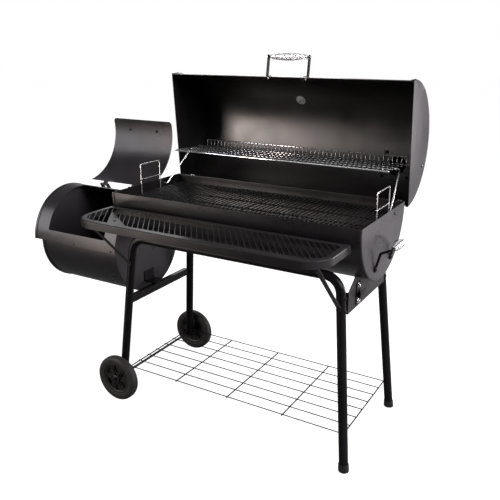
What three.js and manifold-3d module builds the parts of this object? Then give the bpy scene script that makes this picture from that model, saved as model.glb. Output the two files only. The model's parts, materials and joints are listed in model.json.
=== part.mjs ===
// Barrel charcoal grill with a side firebox, lid and firebox door standing open.
// Millimetres. +X along the barrel to the right, +Y to the back, +Z up.
// Everything is drawn from the floor under the middle of the barrel, and the whole grill is then
// moved so that its origin is on the floor under the middle of its bounding box.
import * as THREE from 'three';
import { mergeVertices } from 'three/addons/utils/BufferGeometryUtils.js';
import Module from 'manifold-3d';

const wasm = await Module();
wasm.setup();

// ---------- driving dimensions ----------
const ORIGIN_SHIFT = [196.6, -94.6];
const GAP = 0.3;                 // space left between neighbouring pieces
const SHEET = 2;                 // sheet metal thickness

const BARREL_HALF = 500;         // half the length of the barrel shell
const BARREL_Z = 840;            // height of the barrel axis
const BARREL_R = 212;            // outside radius of the barrel shell
const RIM_Z = 850;               // top edge of the lower half
const CAP_R = BARREL_R + GAP + SHEET;
const CAP_FLANGE = 10;

const LID_R = 222;               // outside radius of the lid shell
const LID_HALF = 507;            // half the length of the lid shell
const LID_OPEN = 85;             // degrees, lid standing open at rest
const HINGE_Y = 222;             // lid hinge axis
const HINGE_Z = 826;
const HINGE_X = 467;             // middle of each lid hinge

const FOOT_X = 490;              // foot centres on the floor
const FOOT_Y = 235;
const LEAN_X = 0.09;             // how far the legs lean in, per mm of height
const LEAN_Y = 0.07;
const LEG_R = 16;
const LEG_WALL = 1.6;
const LEG_TOP_Z = 674;           // height of the level run that joins two legs
const LEG_BEND = 60;

const WHEEL_R = 93;
const WHEEL_WIDTH = 36;
const TYRE_BORE = 62;
const WHEEL_Y = 265;
const AXLE_R = 5;
const AXLE_BORE = AXLE_R + 0.2;

const SHELF_TOP = 798;           // front shelf
const SHELF_LEFT = -505;
const SHELF_RIGHT = 470;
const SHELF_FRONT = -430;
const SHELF_BACK = -215;
const SHELF_SKIRT = 27;
const SHELF_CORNER = 90;
const SLOT_LEAN = 36;            // degrees the slots lean to the left, front to back
const SLOT_PITCH = 22.3;         // measured along the shelf
const SLOT_WIDTH = 15.4;         // measured across a slot
const SLOT_FIELD = { left: -486, right: 451, front: -405, back: -240, corner: 68 };
const SHELF_PATCHES = [-354.7];  // left front corner of the plain patch

const WIRE_SHELF_Z = 117;        // bottom wire shelf

const GRATE_Z = 814.3;           // cooking grate frame rods
const GRATE_WIRES = 18;
const LEDGE_Z = 811;

const TRAY_Z = 705;              // underside of the charcoal tray
const TRAY_HALF_X = 479;
const TRAY_HALF_Y = 140;
const TRAY_WALL = 42;
const TRAY_HANDLE_X = 490;

const LEG_FOOT = [106, 829];     // warming rack legs turn here on the barrel ends (y, z)
const LEG_HEAD = [254, 955];     // the rack turns here on its legs
const RACK_PIN = [370, 952];     // the rack turns here in the lid ends
const RACK_HALF = 452;
const RACK_WIRES = 31;

const FIREBOX_Z = 587;           // firebox axis height
const FIREBOX_TOP_R = 206;       // outside radius of its upper half
const FIREBOX_LOW_R = 200;       // outside radius of its lower half
const FIREBOX_RIGHT = -514.3;
const FIREBOX_TOP_LEFT = -960;
const FIREBOX_LOW_LEFT = -920;
const FIREBOX_SEAM = 595.5;      // lower edge of the upper half
const OPENING = { left: -882, right: -574, back: 80, front: 164.4 };

const DOOR_R = 207;              // inside radius of the firebox door
const DOOR_OPEN = 154;           // degrees, door standing open at rest
const DOOR_AXIS = [74, 794];     // door hinge axis (y, z)
const DOOR_LEFT = -892;
const DOOR_RIGHT = -564;
const DOOR_HINGES = [-808, -648];

// ---------- materials ----------
function paint(color, roughness, metalness) {
  return new THREE.MeshStandardMaterial({ color, roughness, metalness });
}
const LOOK = {
  shell: () => paint(0x2e2b2e, 0.5, 0.35),
  frame: () => paint(0x17161a, 0.45, 0.3),
  iron: () => paint(0x151414, 0.8, 0.3),
  chrome: () => paint(0xc9cacb, 0.2, 1.0),
  rubber: () => paint(0x121213, 0.8, 0.0),
  plastic: () => paint(0x1b1b1c, 0.6, 0.0),
};

// ---------- joining and cutting ----------
function solid(geometry) {
  let plain = geometry.clone();
  plain.deleteAttribute('normal');
  plain.deleteAttribute('uv');
  plain = mergeVertices(plain, 1e-4);
  const vertProperties = new Float32Array(plain.attributes.position.array);
  const triVerts = new Uint32Array(plain.index.array);
  return new wasm.Manifold(new wasm.Mesh({ numProp: 3, vertProperties, triVerts }));
}

function geometryOf(manifold) {
  const mesh = manifold.getMesh();
  const geometry = new THREE.BufferGeometry();
  geometry.setAttribute('position', new THREE.BufferAttribute(mesh.vertProperties, 3));
  geometry.setIndex(new THREE.BufferAttribute(mesh.triVerts, 1));
  geometry.computeVertexNormals();
  return geometry;
}

function joined(...geometries) {
  let whole = solid(geometries[0]);
  for (const piece of geometries.slice(1)) {
    whole = whole.add(solid(piece));
  }
  return geometryOf(whole);
}

function cut(geometry, ...tools) {
  let whole = solid(geometry);
  for (const tool of tools) {
    whole = whole.subtract(solid(tool));
  }
  return geometryOf(whole);
}

function common(a, b) {
  return geometryOf(solid(a).intersect(solid(b)));
}

// ---------- shapes ----------
const rad = THREE.MathUtils.degToRad;

// flat outline in (y, z), pulled along X from x0 to x1
function alongX(shape, x0, x1) {
  const geometry = new THREE.ExtrudeGeometry(shape, { depth: x1 - x0, bevelEnabled: false });
  const turn = new THREE.Matrix4().makeBasis(
    new THREE.Vector3(0, 1, 0),
    new THREE.Vector3(0, 0, 1),
    new THREE.Vector3(1, 0, 0),
  );
  return geometry.applyMatrix4(turn).translate(x0, 0, 0);
}

// flat outline in (x, z), pulled along Y from y0 to y1
function alongY(shape, y0, y1) {
  const geometry = new THREE.ExtrudeGeometry(shape, { depth: y1 - y0, bevelEnabled: false });
  return geometry.rotateX(Math.PI / 2).translate(0, y1, 0);
}

// flat outline in (x, y), pulled along Z from z0 to z1
function alongZ(shape, z0, z1) {
  const geometry = new THREE.ExtrudeGeometry(shape, { depth: z1 - z0, bevelEnabled: false });
  return geometry.translate(0, 0, z0);
}

function box(x0, x1, y0, y1, z0, z1) {
  const geometry = new THREE.BoxGeometry(x1 - x0, y1 - y0, z1 - z0);
  return geometry.translate((x0 + x1) / 2, (y0 + y1) / 2, (z0 + z1) / 2);
}

function arcPoints(cy, cz, r, from, to, steps) {
  const points = [];
  for (let i = 0; i <= steps; i += 1) {
    const a = rad(from + ((to - from) * i) / steps);
    points.push(new THREE.Vector2(cy + r * Math.cos(a), cz + r * Math.sin(a)));
  }
  return points;
}

// curved strip between two radii, angles measured from +Y towards +Z
function band(cy, cz, rIn, rOut, from, to, steps) {
  const outer = arcPoints(cy, cz, rOut, from, to, steps);
  const inner = arcPoints(cy, cz, rIn, to, from, steps);
  return new THREE.Shape([...outer, ...inner]);
}

function disc(cy, cz, r, steps) {
  return new THREE.Shape(arcPoints(cy, cz, r, 0, 360, steps).slice(0, -1));
}

function ring(cy, cz, rOut, rIn, steps) {
  const shape = disc(cy, cz, rOut, steps);
  shape.holes.push(disc(cy, cz, rIn, steps));
  return shape;
}

function polygon(points) {
  return new THREE.Shape(points.map(([a, b]) => new THREE.Vector2(a, b)));
}

// round bar standing on (x, y), (x, z) or (y, z) along the named axis
function bar(axis, a, b, from, to, r, sides) {
  const geometry = new THREE.CylinderGeometry(r, r, to - from, sides);
  const middle = (from + to) / 2;
  if (axis === 'x') {
    return geometry.rotateZ(Math.PI / 2).translate(middle, a, b);
  }
  if (axis === 'y') {
    return geometry.translate(a, middle, b);
  }
  return geometry.rotateX(Math.PI / 2).translate(a, b, middle);
}

// end cap pressed like a pan: a plate at x = face with its edge turned in as far as x = lip
function pan(outline, pocket, face, lip) {
  const inward = Math.sign(lip - face);
  const floor = face + inward * SHEET;
  const past = lip + inward * 5;
  const block = alongX(outline, Math.min(face, lip), Math.max(face, lip));
  return cut(block, alongX(pocket, Math.min(floor, past), Math.max(floor, past)));
}

// ---------- bent rods and tubes ----------
class Run extends THREE.Curve {
  constructor(stations) {
    super();
    this.stations = stations;
  }

  getPoint(t, target = new THREE.Vector3()) {
    const last = this.stations.length - 1;
    return target.copy(this.stations[Math.round(t * last)]);
  }

  getPointAt(u, target) {
    return this.getPoint(u, target);
  }

  getTangentAt(u, target = new THREE.Vector3()) {
    const last = this.stations.length - 1;
    const i = Math.round(u * last);
    target.set(0, 0, 0);
    if (i > 0) {
      target.add(this.stations[i].clone().sub(this.stations[i - 1]).normalize());
    }
    if (i < last) {
      target.add(this.stations[i + 1].clone().sub(this.stations[i]).normalize());
    }
    return target.normalize();
  }
}

function bendStations(corners, radius, steps) {
  const points = corners.map(([x, y, z]) => new THREE.Vector3(x, y, z));
  if (radius === 0) {
    return points;
  }
  const stations = [points[0]];
  for (let i = 1; i < points.length - 1; i += 1) {
    const before = points[i].clone().sub(points[i - 1]).normalize();
    const after = points[i + 1].clone().sub(points[i]).normalize();
    const angle = before.angleTo(after);
    const axis = before.clone().cross(after).normalize();
    const start = points[i].clone().addScaledVector(before, -radius * Math.tan(angle / 2));
    const toCentre = axis.clone().cross(before).multiplyScalar(radius);
    const centre = start.clone().add(toCentre);
    for (let k = 0; k <= steps; k += 1) {
      const arm = start.clone().sub(centre).applyAxisAngle(axis, (angle * k) / steps);
      stations.push(centre.clone().add(arm));
    }
  }
  stations.push(points[points.length - 1]);
  return stations;
}

function rod(corners, r, { sides = 8, bend = 0, steps = 4, bore = 0 } = {}) {
  const stations = bendStations(corners, bend, steps);
  const shape = disc(0, 0, r, sides);
  if (bore > 0) {
    shape.holes.push(disc(0, 0, bore, sides));
  }
  return new THREE.ExtrudeGeometry(shape, {
    steps: stations.length - 1,
    extrudePath: new Run(stations),
    bevelEnabled: false,
  });
}

// closed barrel-shaped grip with wound ribs, along X, centred on the origin
function coilGrip(length, rMiddle, rEnd, bore) {
  const ribs = 6;
  const profile = [];
  for (let i = 0; i <= ribs * 2; i += 1) {
    const t = i / (ribs * 2);
    const swell = rEnd + (rMiddle - rEnd) * Math.sin(Math.PI * t);
    const r = i % 2 === 1 ? swell : swell - 1.6;
    profile.push(new THREE.Vector2(r, length * (t - 0.5)));
  }
  profile.push(new THREE.Vector2(bore, length / 2));
  profile.push(new THREE.Vector2(bore, -length / 2));
  profile.push(profile[0].clone());
  return new THREE.LatheGeometry(profile, 10).rotateZ(-Math.PI / 2);
}

// ---------- assembly helper ----------
const grill = new THREE.Group();
grill.name = 'barrel_charcoal_grill';
grill.position.set(...ORIGIN_SHIFT, 0);

function place(name, geometry, material, parent = grill) {
  const mesh = new THREE.Mesh(geometry, material());
  mesh.name = name;
  parent.add(mesh);
  return mesh;
}

// ---------- leg frames ----------
function legX(z) {
  return FOOT_X - LEAN_X * z;
}

function legY(z) {
  return FOOT_Y - LEAN_Y * z;
}

const AXLE_X = -legX(WHEEL_R);

function legFrame(side) {
  const low = 3;
  const left = 78;
  const tube = rod(
    [
      [legX(low), side * legY(low), low],
      [legX(LEG_TOP_Z), side * legY(LEG_TOP_Z), LEG_TOP_Z],
      [-legX(LEG_TOP_Z), side * legY(LEG_TOP_Z), LEG_TOP_Z],
      [-legX(left), side * legY(left), left],
    ],
    LEG_R,
    { sides: 12, bend: LEG_BEND, steps: 4, bore: LEG_R - LEG_WALL },
  );
  const axleHole = bar('y', AXLE_X, WHEEL_R, -300, 300, AXLE_R + GAP, 10);
  return cut(tube, axleHole);
}

place('front_leg_frame', legFrame(-1), LOOK.frame);
place('rear_leg_frame', legFrame(1), LOOK.frame);

// closed foot cup following the lean of the leg, flat on the floor
function footCap(side) {
  const reach = 26;
  const outer = rod(
    [
      [legX(-10), side * legY(-10), -10],
      [legX(reach), side * legY(reach), reach],
    ],
    LEG_R + 2.2,
    { sides: 20 },
  );
  const socket = rod(
    [
      [legX(2.4), side * legY(2.4), 2.4],
      [legX(reach + 10), side * legY(reach + 10), reach + 10],
    ],
    LEG_R + 0.4,
    { sides: 20 },
  );
  const floor = box(FOOT_X - 60, FOOT_X + 60, side * FOOT_Y - 60, side * FOOT_Y + 60, -40, 0);
  return cut(outer, socket, floor);
}

place('foot_cap_front', footCap(-1), LOOK.plastic);
place('foot_cap_rear', footCap(1), LOOK.plastic);

// upright plate between the right legs, its top edge cradling the barrel
function saddlePlate() {
  const x = 452;
  const end = 175.2;
  const low = 546;
  const shoulder = 621;
  const reach = 124;
  const cradle = arcPoints(0, BARREL_Z, BARREL_R + GAP, -125.8, -54.2, 14);
  const outline = [
    [-end, low],
    [end, low],
    [end, shoulder],
    [reach, 655],
    ...cradle.reverse().map((p) => [p.x, p.y]),
    [-reach, 655],
    [-end, shoulder],
  ];
  const plate = alongX(polygon(outline), x, x + 3);
  const frontTab = box(x - 16, x + 2, -end, -end + 3, low, shoulder);
  const rearTab = box(x - 16, x + 2, end - 3, end, low, shoulder);
  return joined(plate, frontTab, rearTab);
}

place('right_saddle_plate', saddlePlate(), LOOK.frame);

// bottle opener: curled lip under a slot plate, held by two screws
function bottleOpener() {
  const x = 455 + GAP;
  const base = box(x, x + 2.5, -112, -76, 556, 632);
  const lip = box(x + 2, x + 15, -106, -58, 583, 588);
  const curl = box(x + 12, x + 15, -106, -58, 583, 603);
  const top = bar('x', -94, 622, x + 1, x + 6, 5, 10);
  const bottom = bar('x', -94, 566, x + 1, x + 6, 5, 10);
  return joined(base, lip, curl, top, bottom);
}

place('bottle_opener', bottleOpener(), LOOK.frame);

// angle bar between the left legs, with bent end tabs
function crossBeam() {
  const x = -454;
  const low = 398;
  const high = 428;
  const end = 188.6;
  const outline = polygon([
    [x, low],
    [x + 3, low],
    [x + 3, high],
    [x - 17, high],
    [x - 17, high - 3],
    [x, high - 3],
  ]);
  return alongY(outline, -end, end);
}

place('left_cross_beam', crossBeam(), LOOK.frame);

// bent stay that carries the inner end of the firebox on the beam
function fireboxStay() {
  const outline = polygon([
    [-511.7, 428.3],
    [-456, 428.3],
    [-456, 431.3],
    [-508.7, 431.3],
    [-508.7, 474],
    [-511.7, 474],
  ]);
  return alongY(outline, -38, 24);
}

place('firebox_stay', fireboxStay(), LOOK.frame);

// stand-off studs from the leg frames to the barrel
function standoff(x, side) {
  const tubeY = side * legY(LEG_TOP_Z);
  const dy = tubeY;
  const dz = LEG_TOP_Z - BARREL_Z;
  const distance = Math.hypot(dy, dz);
  const near = (distance - LEG_R - 0.4) / distance;
  const far = (BARREL_R + 0.4) / distance;
  return rod(
    [
      [x, dy * near, BARREL_Z + dz * near],
      [x, dy * far, BARREL_Z + dz * far],
    ],
    7,
    { sides: 10 },
  );
}

place('barrel_standoff_front', standoff(-330, -1), LOOK.frame);
place('barrel_standoff_rear', standoff(-330, 1), LOOK.frame);

// ---------- axle and wheels ----------
function axle() {
  const reach = WHEEL_Y + WHEEL_WIDTH / 2 + 0.6;
  const shaft = bar('y', AXLE_X, WHEEL_R, -reach - 3, reach + 3, AXLE_R, 16);
  const frontHead = bar('y', AXLE_X, WHEEL_R, -reach - 5, -reach, 9, 12);
  const rearHead = bar('y', AXLE_X, WHEEL_R, reach, reach + 5, 9, 12);
  return joined(shaft, frontHead, rearHead);
}

place('axle', axle(), LOOK.frame);

// moulded disc with six windows sunk into each side and a thin web left between them
function wheelHub() {
  const half = 9;
  const web = 1.5;
  const windows = 6;
  const pockets = [];
  for (let i = 0; i < windows; i += 1) {
    const mid = (360 * i) / windows + 30;
    const outer = arcPoints(0, 0, 52, mid - 17, mid + 17, 3);
    const inner = arcPoints(0, 0, 25, mid + 9, mid - 9, 1);
    const shape = new THREE.Shape([...outer, ...inner]);
    pockets.push(alongZ(shape, web, half + 3), alongZ(shape, -half - 3, -web));
  }
  const plate = alongZ(disc(0, 0, TYRE_BORE - GAP, 24), -half, half);
  const boss = bar('z', 0, 0, -WHEEL_WIDTH / 2, WHEEL_WIDTH / 2, 18, 16);
  const bore = bar('z', 0, 0, -60, 60, AXLE_BORE, 16);
  return cut(joined(plate, boss), bore, ...pockets);
}

function tyre() {
  const half = WHEEL_WIDTH / 2;
  const profile = [
    [TYRE_BORE, 5 - half],
    [70, -half],
    [87, -half],
    [91.5, 4.5 - half],
    [WHEEL_R, -6],
    [WHEEL_R, 6],
    [91.5, half - 4.5],
    [87, half],
    [70, half],
    [TYRE_BORE, half - 5],
    [TYRE_BORE, 5 - half],
  ].map(([r, z]) => new THREE.Vector2(r, z));
  return new THREE.LatheGeometry(profile, 24).rotateX(Math.PI / 2);
}

for (const [label, side] of [['front', -1], ['rear', 1]]) {
  const wheel = new THREE.Group();
  wheel.name = `wheel_${label}`;
  wheel.position.set(AXLE_X, side * WHEEL_Y, WHEEL_R);
  wheel.rotation.x = Math.PI / 2;
  grill.add(wheel);
  place(`wheel_${label}_hub`, wheelHub(), LOOK.plastic, wheel);
  place(`wheel_${label}_tyre`, tyre(), LOOK.rubber, wheel);
}

// ---------- bottom wire shelf ----------
function wireShelf() {
  const endX = legX(WIRE_SHELF_Z) - 9.5;
  const endY = legY(WIRE_SHELF_Z) - 14.6;
  const wires = [];
  for (let i = 0; i < 5; i += 1) {
    const x = -endX + (2 * endX * i) / 4;
    const reach = i === 0 || i === 4 ? endY : 207;
    wires.push(bar('y', x, WIRE_SHELF_Z, -reach, reach, 2.4, 6));
  }
  for (let i = 0; i < 8; i += 1) {
    const y = -205 + (410 * i) / 7;
    wires.push(bar('x', y, WIRE_SHELF_Z + 3.6, -endX - 2, endX + 2, 2, 6));
  }
  return joined(...wires);
}

place('bottom_shelf', wireShelf(), LOOK.frame);

// ---------- barrel ----------
function barrelShell() {
  const outer = arcPoints(0, BARREL_Z, BARREL_R, -180, 0, 28);
  const inner = arcPoints(0, BARREL_Z, BARREL_R - SHEET, 0, -180, 28);
  const outline = polygon([
    [-BARREL_R, RIM_Z],
    ...outer.map((p) => [p.x, p.y]),
    [BARREL_R, RIM_Z],
    [BARREL_R - SHEET, RIM_Z],
    ...inner.map((p) => [p.x, p.y]),
    [-BARREL_R + SHEET, RIM_Z],
  ]);
  const shell = alongX(outline, -BARREL_HALF, BARREL_HALF);
  const frontLedge = box(-470, 470, -208.9, -194, LEDGE_Z - 2, LEDGE_Z);
  const rearLedge = box(-470, 470, 194, 208.9, LEDGE_Z - 2, LEDGE_Z);
  return joined(shell, frontLedge, rearLedge);
}

place('barrel_shell', barrelShell(), LOOK.shell);

// outline of the smoke passage shared by the barrel and the firebox
function lens(grow) {
  const upper = 185 + grow;
  const lower = 180 + grow;
  const span = BARREL_Z - FIREBOX_Z;
  const drop = (upper * upper - lower * lower + span * span) / (2 * span);
  const a = THREE.MathUtils.radToDeg(Math.acos(drop / upper));
  const b = THREE.MathUtils.radToDeg(Math.acos((span - drop) / lower));
  const bottom = arcPoints(0, BARREL_Z, upper, -90 - a, -90 + a, 12);
  const top = arcPoints(0, FIREBOX_Z, lower, 90 - b, 90 + b, 12);
  return [...bottom, ...top.slice(1, -1)];
}

function barrelEnd(side) {
  const rim = arcPoints(0, BARREL_Z, CAP_R, -180, 0, 28).map((p) => [p.x, p.y]);
  const outline = polygon([[-CAP_R, RIM_Z], ...rim, [CAP_R, RIM_Z]]);
  const inner = BARREL_R + GAP;
  const inside = arcPoints(0, BARREL_Z, inner, -180, 0, 28).map((p) => [p.x, p.y]);
  const pocket = polygon([[-inner, RIM_Z + 5], ...inside, [inner, RIM_Z + 5]]);
  const face = side * (BARREL_HALF + GAP + SHEET);
  const cap = pan(outline, pocket, face, side * (BARREL_HALF - CAP_FLANGE));
  const tools = [bar('x', ...LEG_FOOT, side * 500 - 20, side * 500 + 20, 2.58, 16)];
  if (side < 0) {
    tools.push(alongX(new THREE.Shape(lens(0)), -520, -480));
  }
  return cut(cap, ...tools);
}

place('barrel_end_left', barrelEnd(-1), LOOK.shell);
place('barrel_end_right', barrelEnd(1), LOOK.shell);

// ---------- cooking grates ----------
function cookingGrate(x0, x1) {
  const pieces = [];
  for (const y of [-198, -48, 48, 198]) {
    pieces.push(bar('x', y, GRATE_Z, x0, x1, 3, 6));
  }
  for (let i = 0; i < GRATE_WIRES; i += 1) {
    const x = x0 + 3 + ((x1 - x0 - 6) * i) / (GRATE_WIRES - 1);
    pieces.push(bar('y', x, GRATE_Z + 4.2, -203, 203, 2.5, 4));
  }
  return joined(...pieces);
}

place('cooking_grate_left', cookingGrate(-474, -1.5), LOOK.iron);
place('cooking_grate_right', cookingGrate(1.5, 474), LOOK.iron);

// ---------- charcoal tray and its lifting handles ----------
const HANDLE_Y = [-52, 68];
const HANDLE_HOOK_Z = 738;

function charcoalTray() {
  const outer = box(-TRAY_HALF_X, TRAY_HALF_X, -TRAY_HALF_Y, TRAY_HALF_Y, TRAY_Z, TRAY_Z + TRAY_WALL);
  const hollow = box(
    -TRAY_HALF_X + SHEET,
    TRAY_HALF_X - SHEET,
    -TRAY_HALF_Y + SHEET,
    TRAY_HALF_Y - SHEET,
    TRAY_Z + SHEET,
    TRAY_Z + TRAY_WALL + 10,
  );
  const hookHoles = HANDLE_Y.map((y) => box(-600, 600, y - 3, y + 3, HANDLE_HOOK_Z - 3, HANDLE_HOOK_Z + 3));
  return cut(outer, hollow, ...hookHoles);
}

place('charcoal_tray', charcoalTray(), LOOK.iron);

function trayHandle(side) {
  const x = side * TRAY_HANDLE_X;
  const hook = side * (TRAY_HALF_X - 9);
  const [near, far] = HANDLE_Y;
  const loop = rod(
    [
      [hook, near, HANDLE_HOOK_Z],
      [x, near, HANDLE_HOOK_Z],
      [x, near, 932],
      [x, far, 932],
      [x, far, HANDLE_HOOK_Z],
      [hook, far, HANDLE_HOOK_Z],
    ],
    2,
    { sides: 6, bend: 5, steps: 2 },
  );
  const cross = bar('y', x, 872, near, far, 1.8, 6);
  return joined(loop, cross);
}

place('tray_handle_left', trayHandle(-1), LOOK.chrome);
place('tray_handle_right', trayHandle(1), LOOK.chrome);

// ---------- side carry handle ----------
const SIDE_GRIP_X = 554;
const SIDE_GRIP_Z = 752;

function sideHandleRod() {
  const wall = BARREL_HALF + GAP + SHEET + GAP;
  const bent = rod(
    [
      [wall + 1, -77, 672],
      [520, -77, 738],
      [SIDE_GRIP_X, -66, SIDE_GRIP_Z],
      [SIDE_GRIP_X, 66, SIDE_GRIP_Z],
      [520, 77, 738],
      [wall + 1, 77, 672],
    ],
    4.5,
    { sides: 7, bend: 9, steps: 2 },
  );
  const feet = [-77, 77].map((y) => bar('x', y, 683, wall, wall + 9, 9, 12));
  const inside = box(400, wall, -200, 200, 600, 800);
  return cut(joined(bent, ...feet), inside);
}

place('side_handle_rod', sideHandleRod(), LOOK.frame);
const sideCoil = place('side_handle_coil', coilGrip(110, 16, 9, 5), LOOK.chrome);
sideCoil.rotation.z = Math.PI / 2;
sideCoil.position.set(SIDE_GRIP_X, 0, SIDE_GRIP_Z);

// ---------- front shelf ----------
function shelfOutline(inset) {
  const left = SHELF_LEFT + inset;
  const right = SHELF_RIGHT - inset;
  const front = SHELF_FRONT + inset;
  const r = SHELF_CORNER - inset;
  return polygon([
    [left, SHELF_BACK - inset],
    [right, SHELF_BACK - inset],
    ...arcPoints(right - r, front + r, r, 0, -90, 7).map((p) => [p.x, p.y]),
    ...arcPoints(left + r, front + r, r, -90, -180, 7).map((p) => [p.x, p.y]),
  ]);
}

// outline of the slotted part of the shelf
function slotField() {
  const { left, right, front, back, corner: r } = SLOT_FIELD;
  return polygon([
    [left, back],
    [right, back],
    ...arcPoints(right - r, front + r, r, 0, -90, 5).map((p) => [p.x, p.y]),
    ...arcPoints(left + r, front + r, r, -90, -180, 5).map((p) => [p.x, p.y]),
  ]);
}

// leaning slots, clipped to the field and left out where the shelf is bolted down
function shelfSlots() {
  const low = SHELF_TOP - 6;
  const high = SHELF_TOP + 6;
  const lean = Math.tan(rad(SLOT_LEAN));
  const { left, front, back } = SLOT_FIELD;
  const middle = (front + back) / 2;
  const wide = SLOT_WIDTH / Math.cos(rad(SLOT_LEAN)) / 2;
  const rise = (back - front) / 2 + 5;
  const count = Math.ceil((rise * lean - left) / SLOT_PITCH);
  const strips = [];
  for (let i = -count; i <= count; i += 1) {
    const x = i * SLOT_PITCH;
    strips.push(alongZ(polygon([
      [x + rise * lean - wide, middle - rise],
      [x + rise * lean + wide, middle - rise],
      [x - rise * lean + wide, middle + rise],
      [x - rise * lean - wide, middle + rise],
    ]), low, high));
  }
  const patches = SHELF_PATCHES.map((x) => alongZ(polygon([
    [x, front],
    [x + 83, front],
    [x - 65, front + 109],
    [x - 109 * lean, front + 109],
  ]), low - 1, high + 1));
  return cut(common(alongZ(slotField(), low, high), joined(...strips)), ...patches);
}

function frontShelf() {
  const block = alongZ(shelfOutline(0), SHELF_TOP - SHELF_SKIRT, SHELF_TOP);
  const pocket = alongZ(shelfOutline(SHEET), SHELF_TOP - SHELF_SKIRT - 5, SHELF_TOP - SHEET);
  const low = SHELF_TOP - SHELF_SKIRT;
  const tabs = [-480, 455].map((x) => box(x - 7, x + 7, SHELF_BACK - 1, -208.4, low, SHELF_TOP - 1));
  return joined(cut(block, pocket, shelfSlots()), ...tabs);
}

place('front_shelf', frontShelf(), LOOK.frame);

// flat strut from the leg up to the underside of the shelf
function shelfStrut(x) {
  const low = [-213, 580];
  const high = [-394, 769];
  const length = Math.hypot(high[0] - low[0], high[1] - low[1]);
  const strap = new THREE.BoxGeometry(16, length, 3);
  strap.rotateX(Math.atan2(high[1] - low[1], high[0] - low[0]));
  strap.translate(x, (low[0] + high[0]) / 2, (low[1] + high[1]) / 2);
  const topTab = box(x - 8, x + 8, high[0] - 4, high[0] - 1, high[1] - 6, SHELF_TOP - SHEET - GAP - 3);
  const footTab = box(x - 8, x + 8, low[0] - 1.5, low[0] + 1.5, low[1] - 12, low[1] + 6);
  const trim = box(x - 20, x + 20, low[0] + 1.5, low[0] + 30, low[1] - 40, low[1] + 40);
  return cut(joined(strap, topTab, footTab), trim);
}

place('shelf_strut_left', shelfStrut(-437), LOOK.frame);
place('shelf_strut_right', shelfStrut(437), LOOK.frame);

// ---------- lid, drawn closed and turned open about its hinge ----------
const lid = new THREE.Group();
lid.name = 'lid';
lid.position.set(0, HINGE_Y, HINGE_Z);
lid.rotation.x = -rad(LID_OPEN);
grill.add(lid);

function onLid(name, geometry, material) {
  return place(name, geometry.translate(0, -HINGE_Y, -HINGE_Z), material, lid);
}

const CHIMNEY = { x: 405, y: 127, r: 38, height: 205 };
const CHIMNEY_TOP = BARREL_Z + Math.sqrt(LID_R ** 2 - CHIMNEY.y ** 2) + CHIMNEY.height;
const THERMOMETER = { x: -11, angle: 118.7 };
const HANDLE_ANGLE = 166;

function lidShell() {
  const hem = 10;
  const outer = arcPoints(0, BARREL_Z, LID_R, 0, 177.4, 32);
  const inner = arcPoints(0, BARREL_Z, LID_R - SHEET, 180, 0, 32);
  const outline = polygon([
    ...outer.map((p) => [p.x, p.y]),
    [-LID_R - 1.2, BARREL_Z + hem],
    [-LID_R - 1.5, BARREL_Z],
    ...inner.map((p) => [p.x, p.y]),
  ]);
  const shell = alongX(outline, -LID_HALF, LID_HALF);
  const flue = bar('z', CHIMNEY.x, CHIMNEY.y, 900, 1200, CHIMNEY.r - 5, 20);
  const stemHole = bar('x', 0, 0, -40, 40, 5.4, 10);
  stemHole.rotateY(Math.PI / 2);
  stemHole.rotateX(rad(THERMOMETER.angle) - Math.PI / 2);
  const a = rad(THERMOMETER.angle);
  stemHole.translate(THERMOMETER.x, LID_R * Math.cos(a), BARREL_Z + LID_R * Math.sin(a));
  return cut(shell, flue, stemHole);
}

onLid('lid_shell', lidShell(), LOOK.shell);

function lidEnd(side) {
  const outerR = LID_R + 2 + GAP + SHEET;
  const arch = arcPoints(0, BARREL_Z, outerR, 0, 180, 24).map((p) => [p.x, p.y]);
  const notch = arcPoints(0, BARREL_Z, 10, 180, 0, 8).map((p) => [p.x, p.y]);
  const outline = polygon([...arch, ...notch]);
  const inside = arcPoints(0, BARREL_Z, outerR - SHEET, 0, 180, 24).map((p) => [p.x, p.y]);
  const pocket = polygon([...inside, [-outerR + SHEET, BARREL_Z - 5], [outerR - SHEET, BARREL_Z - 5]]);
  const face = side * (LID_HALF + GAP + SHEET);
  return pan(outline, pocket, face, side * (LID_HALF - 9));
}

// the rack pin hole sits where the pin meets the lid end, turned back to the closed lid
function closedLidPoint(y, z) {
  const a = rad(LID_OPEN);
  const dy = y - HINGE_Y;
  const dz = z - HINGE_Z;
  return [
    HINGE_Y + dy * Math.cos(a) - dz * Math.sin(a),
    HINGE_Z + dy * Math.sin(a) + dz * Math.cos(a),
  ];
}

for (const [label, side] of [['left', -1], ['right', 1]]) {
  const [py, pz] = closedLidPoint(...RACK_PIN);
  const hole = bar('x', py, pz, side * LID_HALF - 30, side * LID_HALF + 30, 2.9, 16);
  onLid(`lid_end_${label}`, cut(lidEnd(side), hole), LOOK.shell);
}

// lid hinges: a pinned leaf on the barrel and an eyed leaf on the lid
function barrelLeaf(x) {
  const inner = BARREL_R + GAP;
  const leaf = alongX(band(0, BARREL_Z, inner, inner + SHEET, -20, -5, 4), x - 20, x + 20);
  const web = polygon([[212.6, 822], [211.8, 812], [222, 821], [222, 829], [216.5, 828]]);
  const ears = [];
  for (const [x0, x1] of [[x - 20, x - 10.5], [x + 10.5, x + 20]]) {
    ears.push(bar('x', HINGE_Y, HINGE_Z, x0, x1, 6, 12));
    ears.push(alongX(web, x0, x1));
  }
  const pin = bar('x', HINGE_Y, HINGE_Z, x - 19, x + 19, 3, 16);
  return joined(leaf, ...ears, pin);
}

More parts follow.
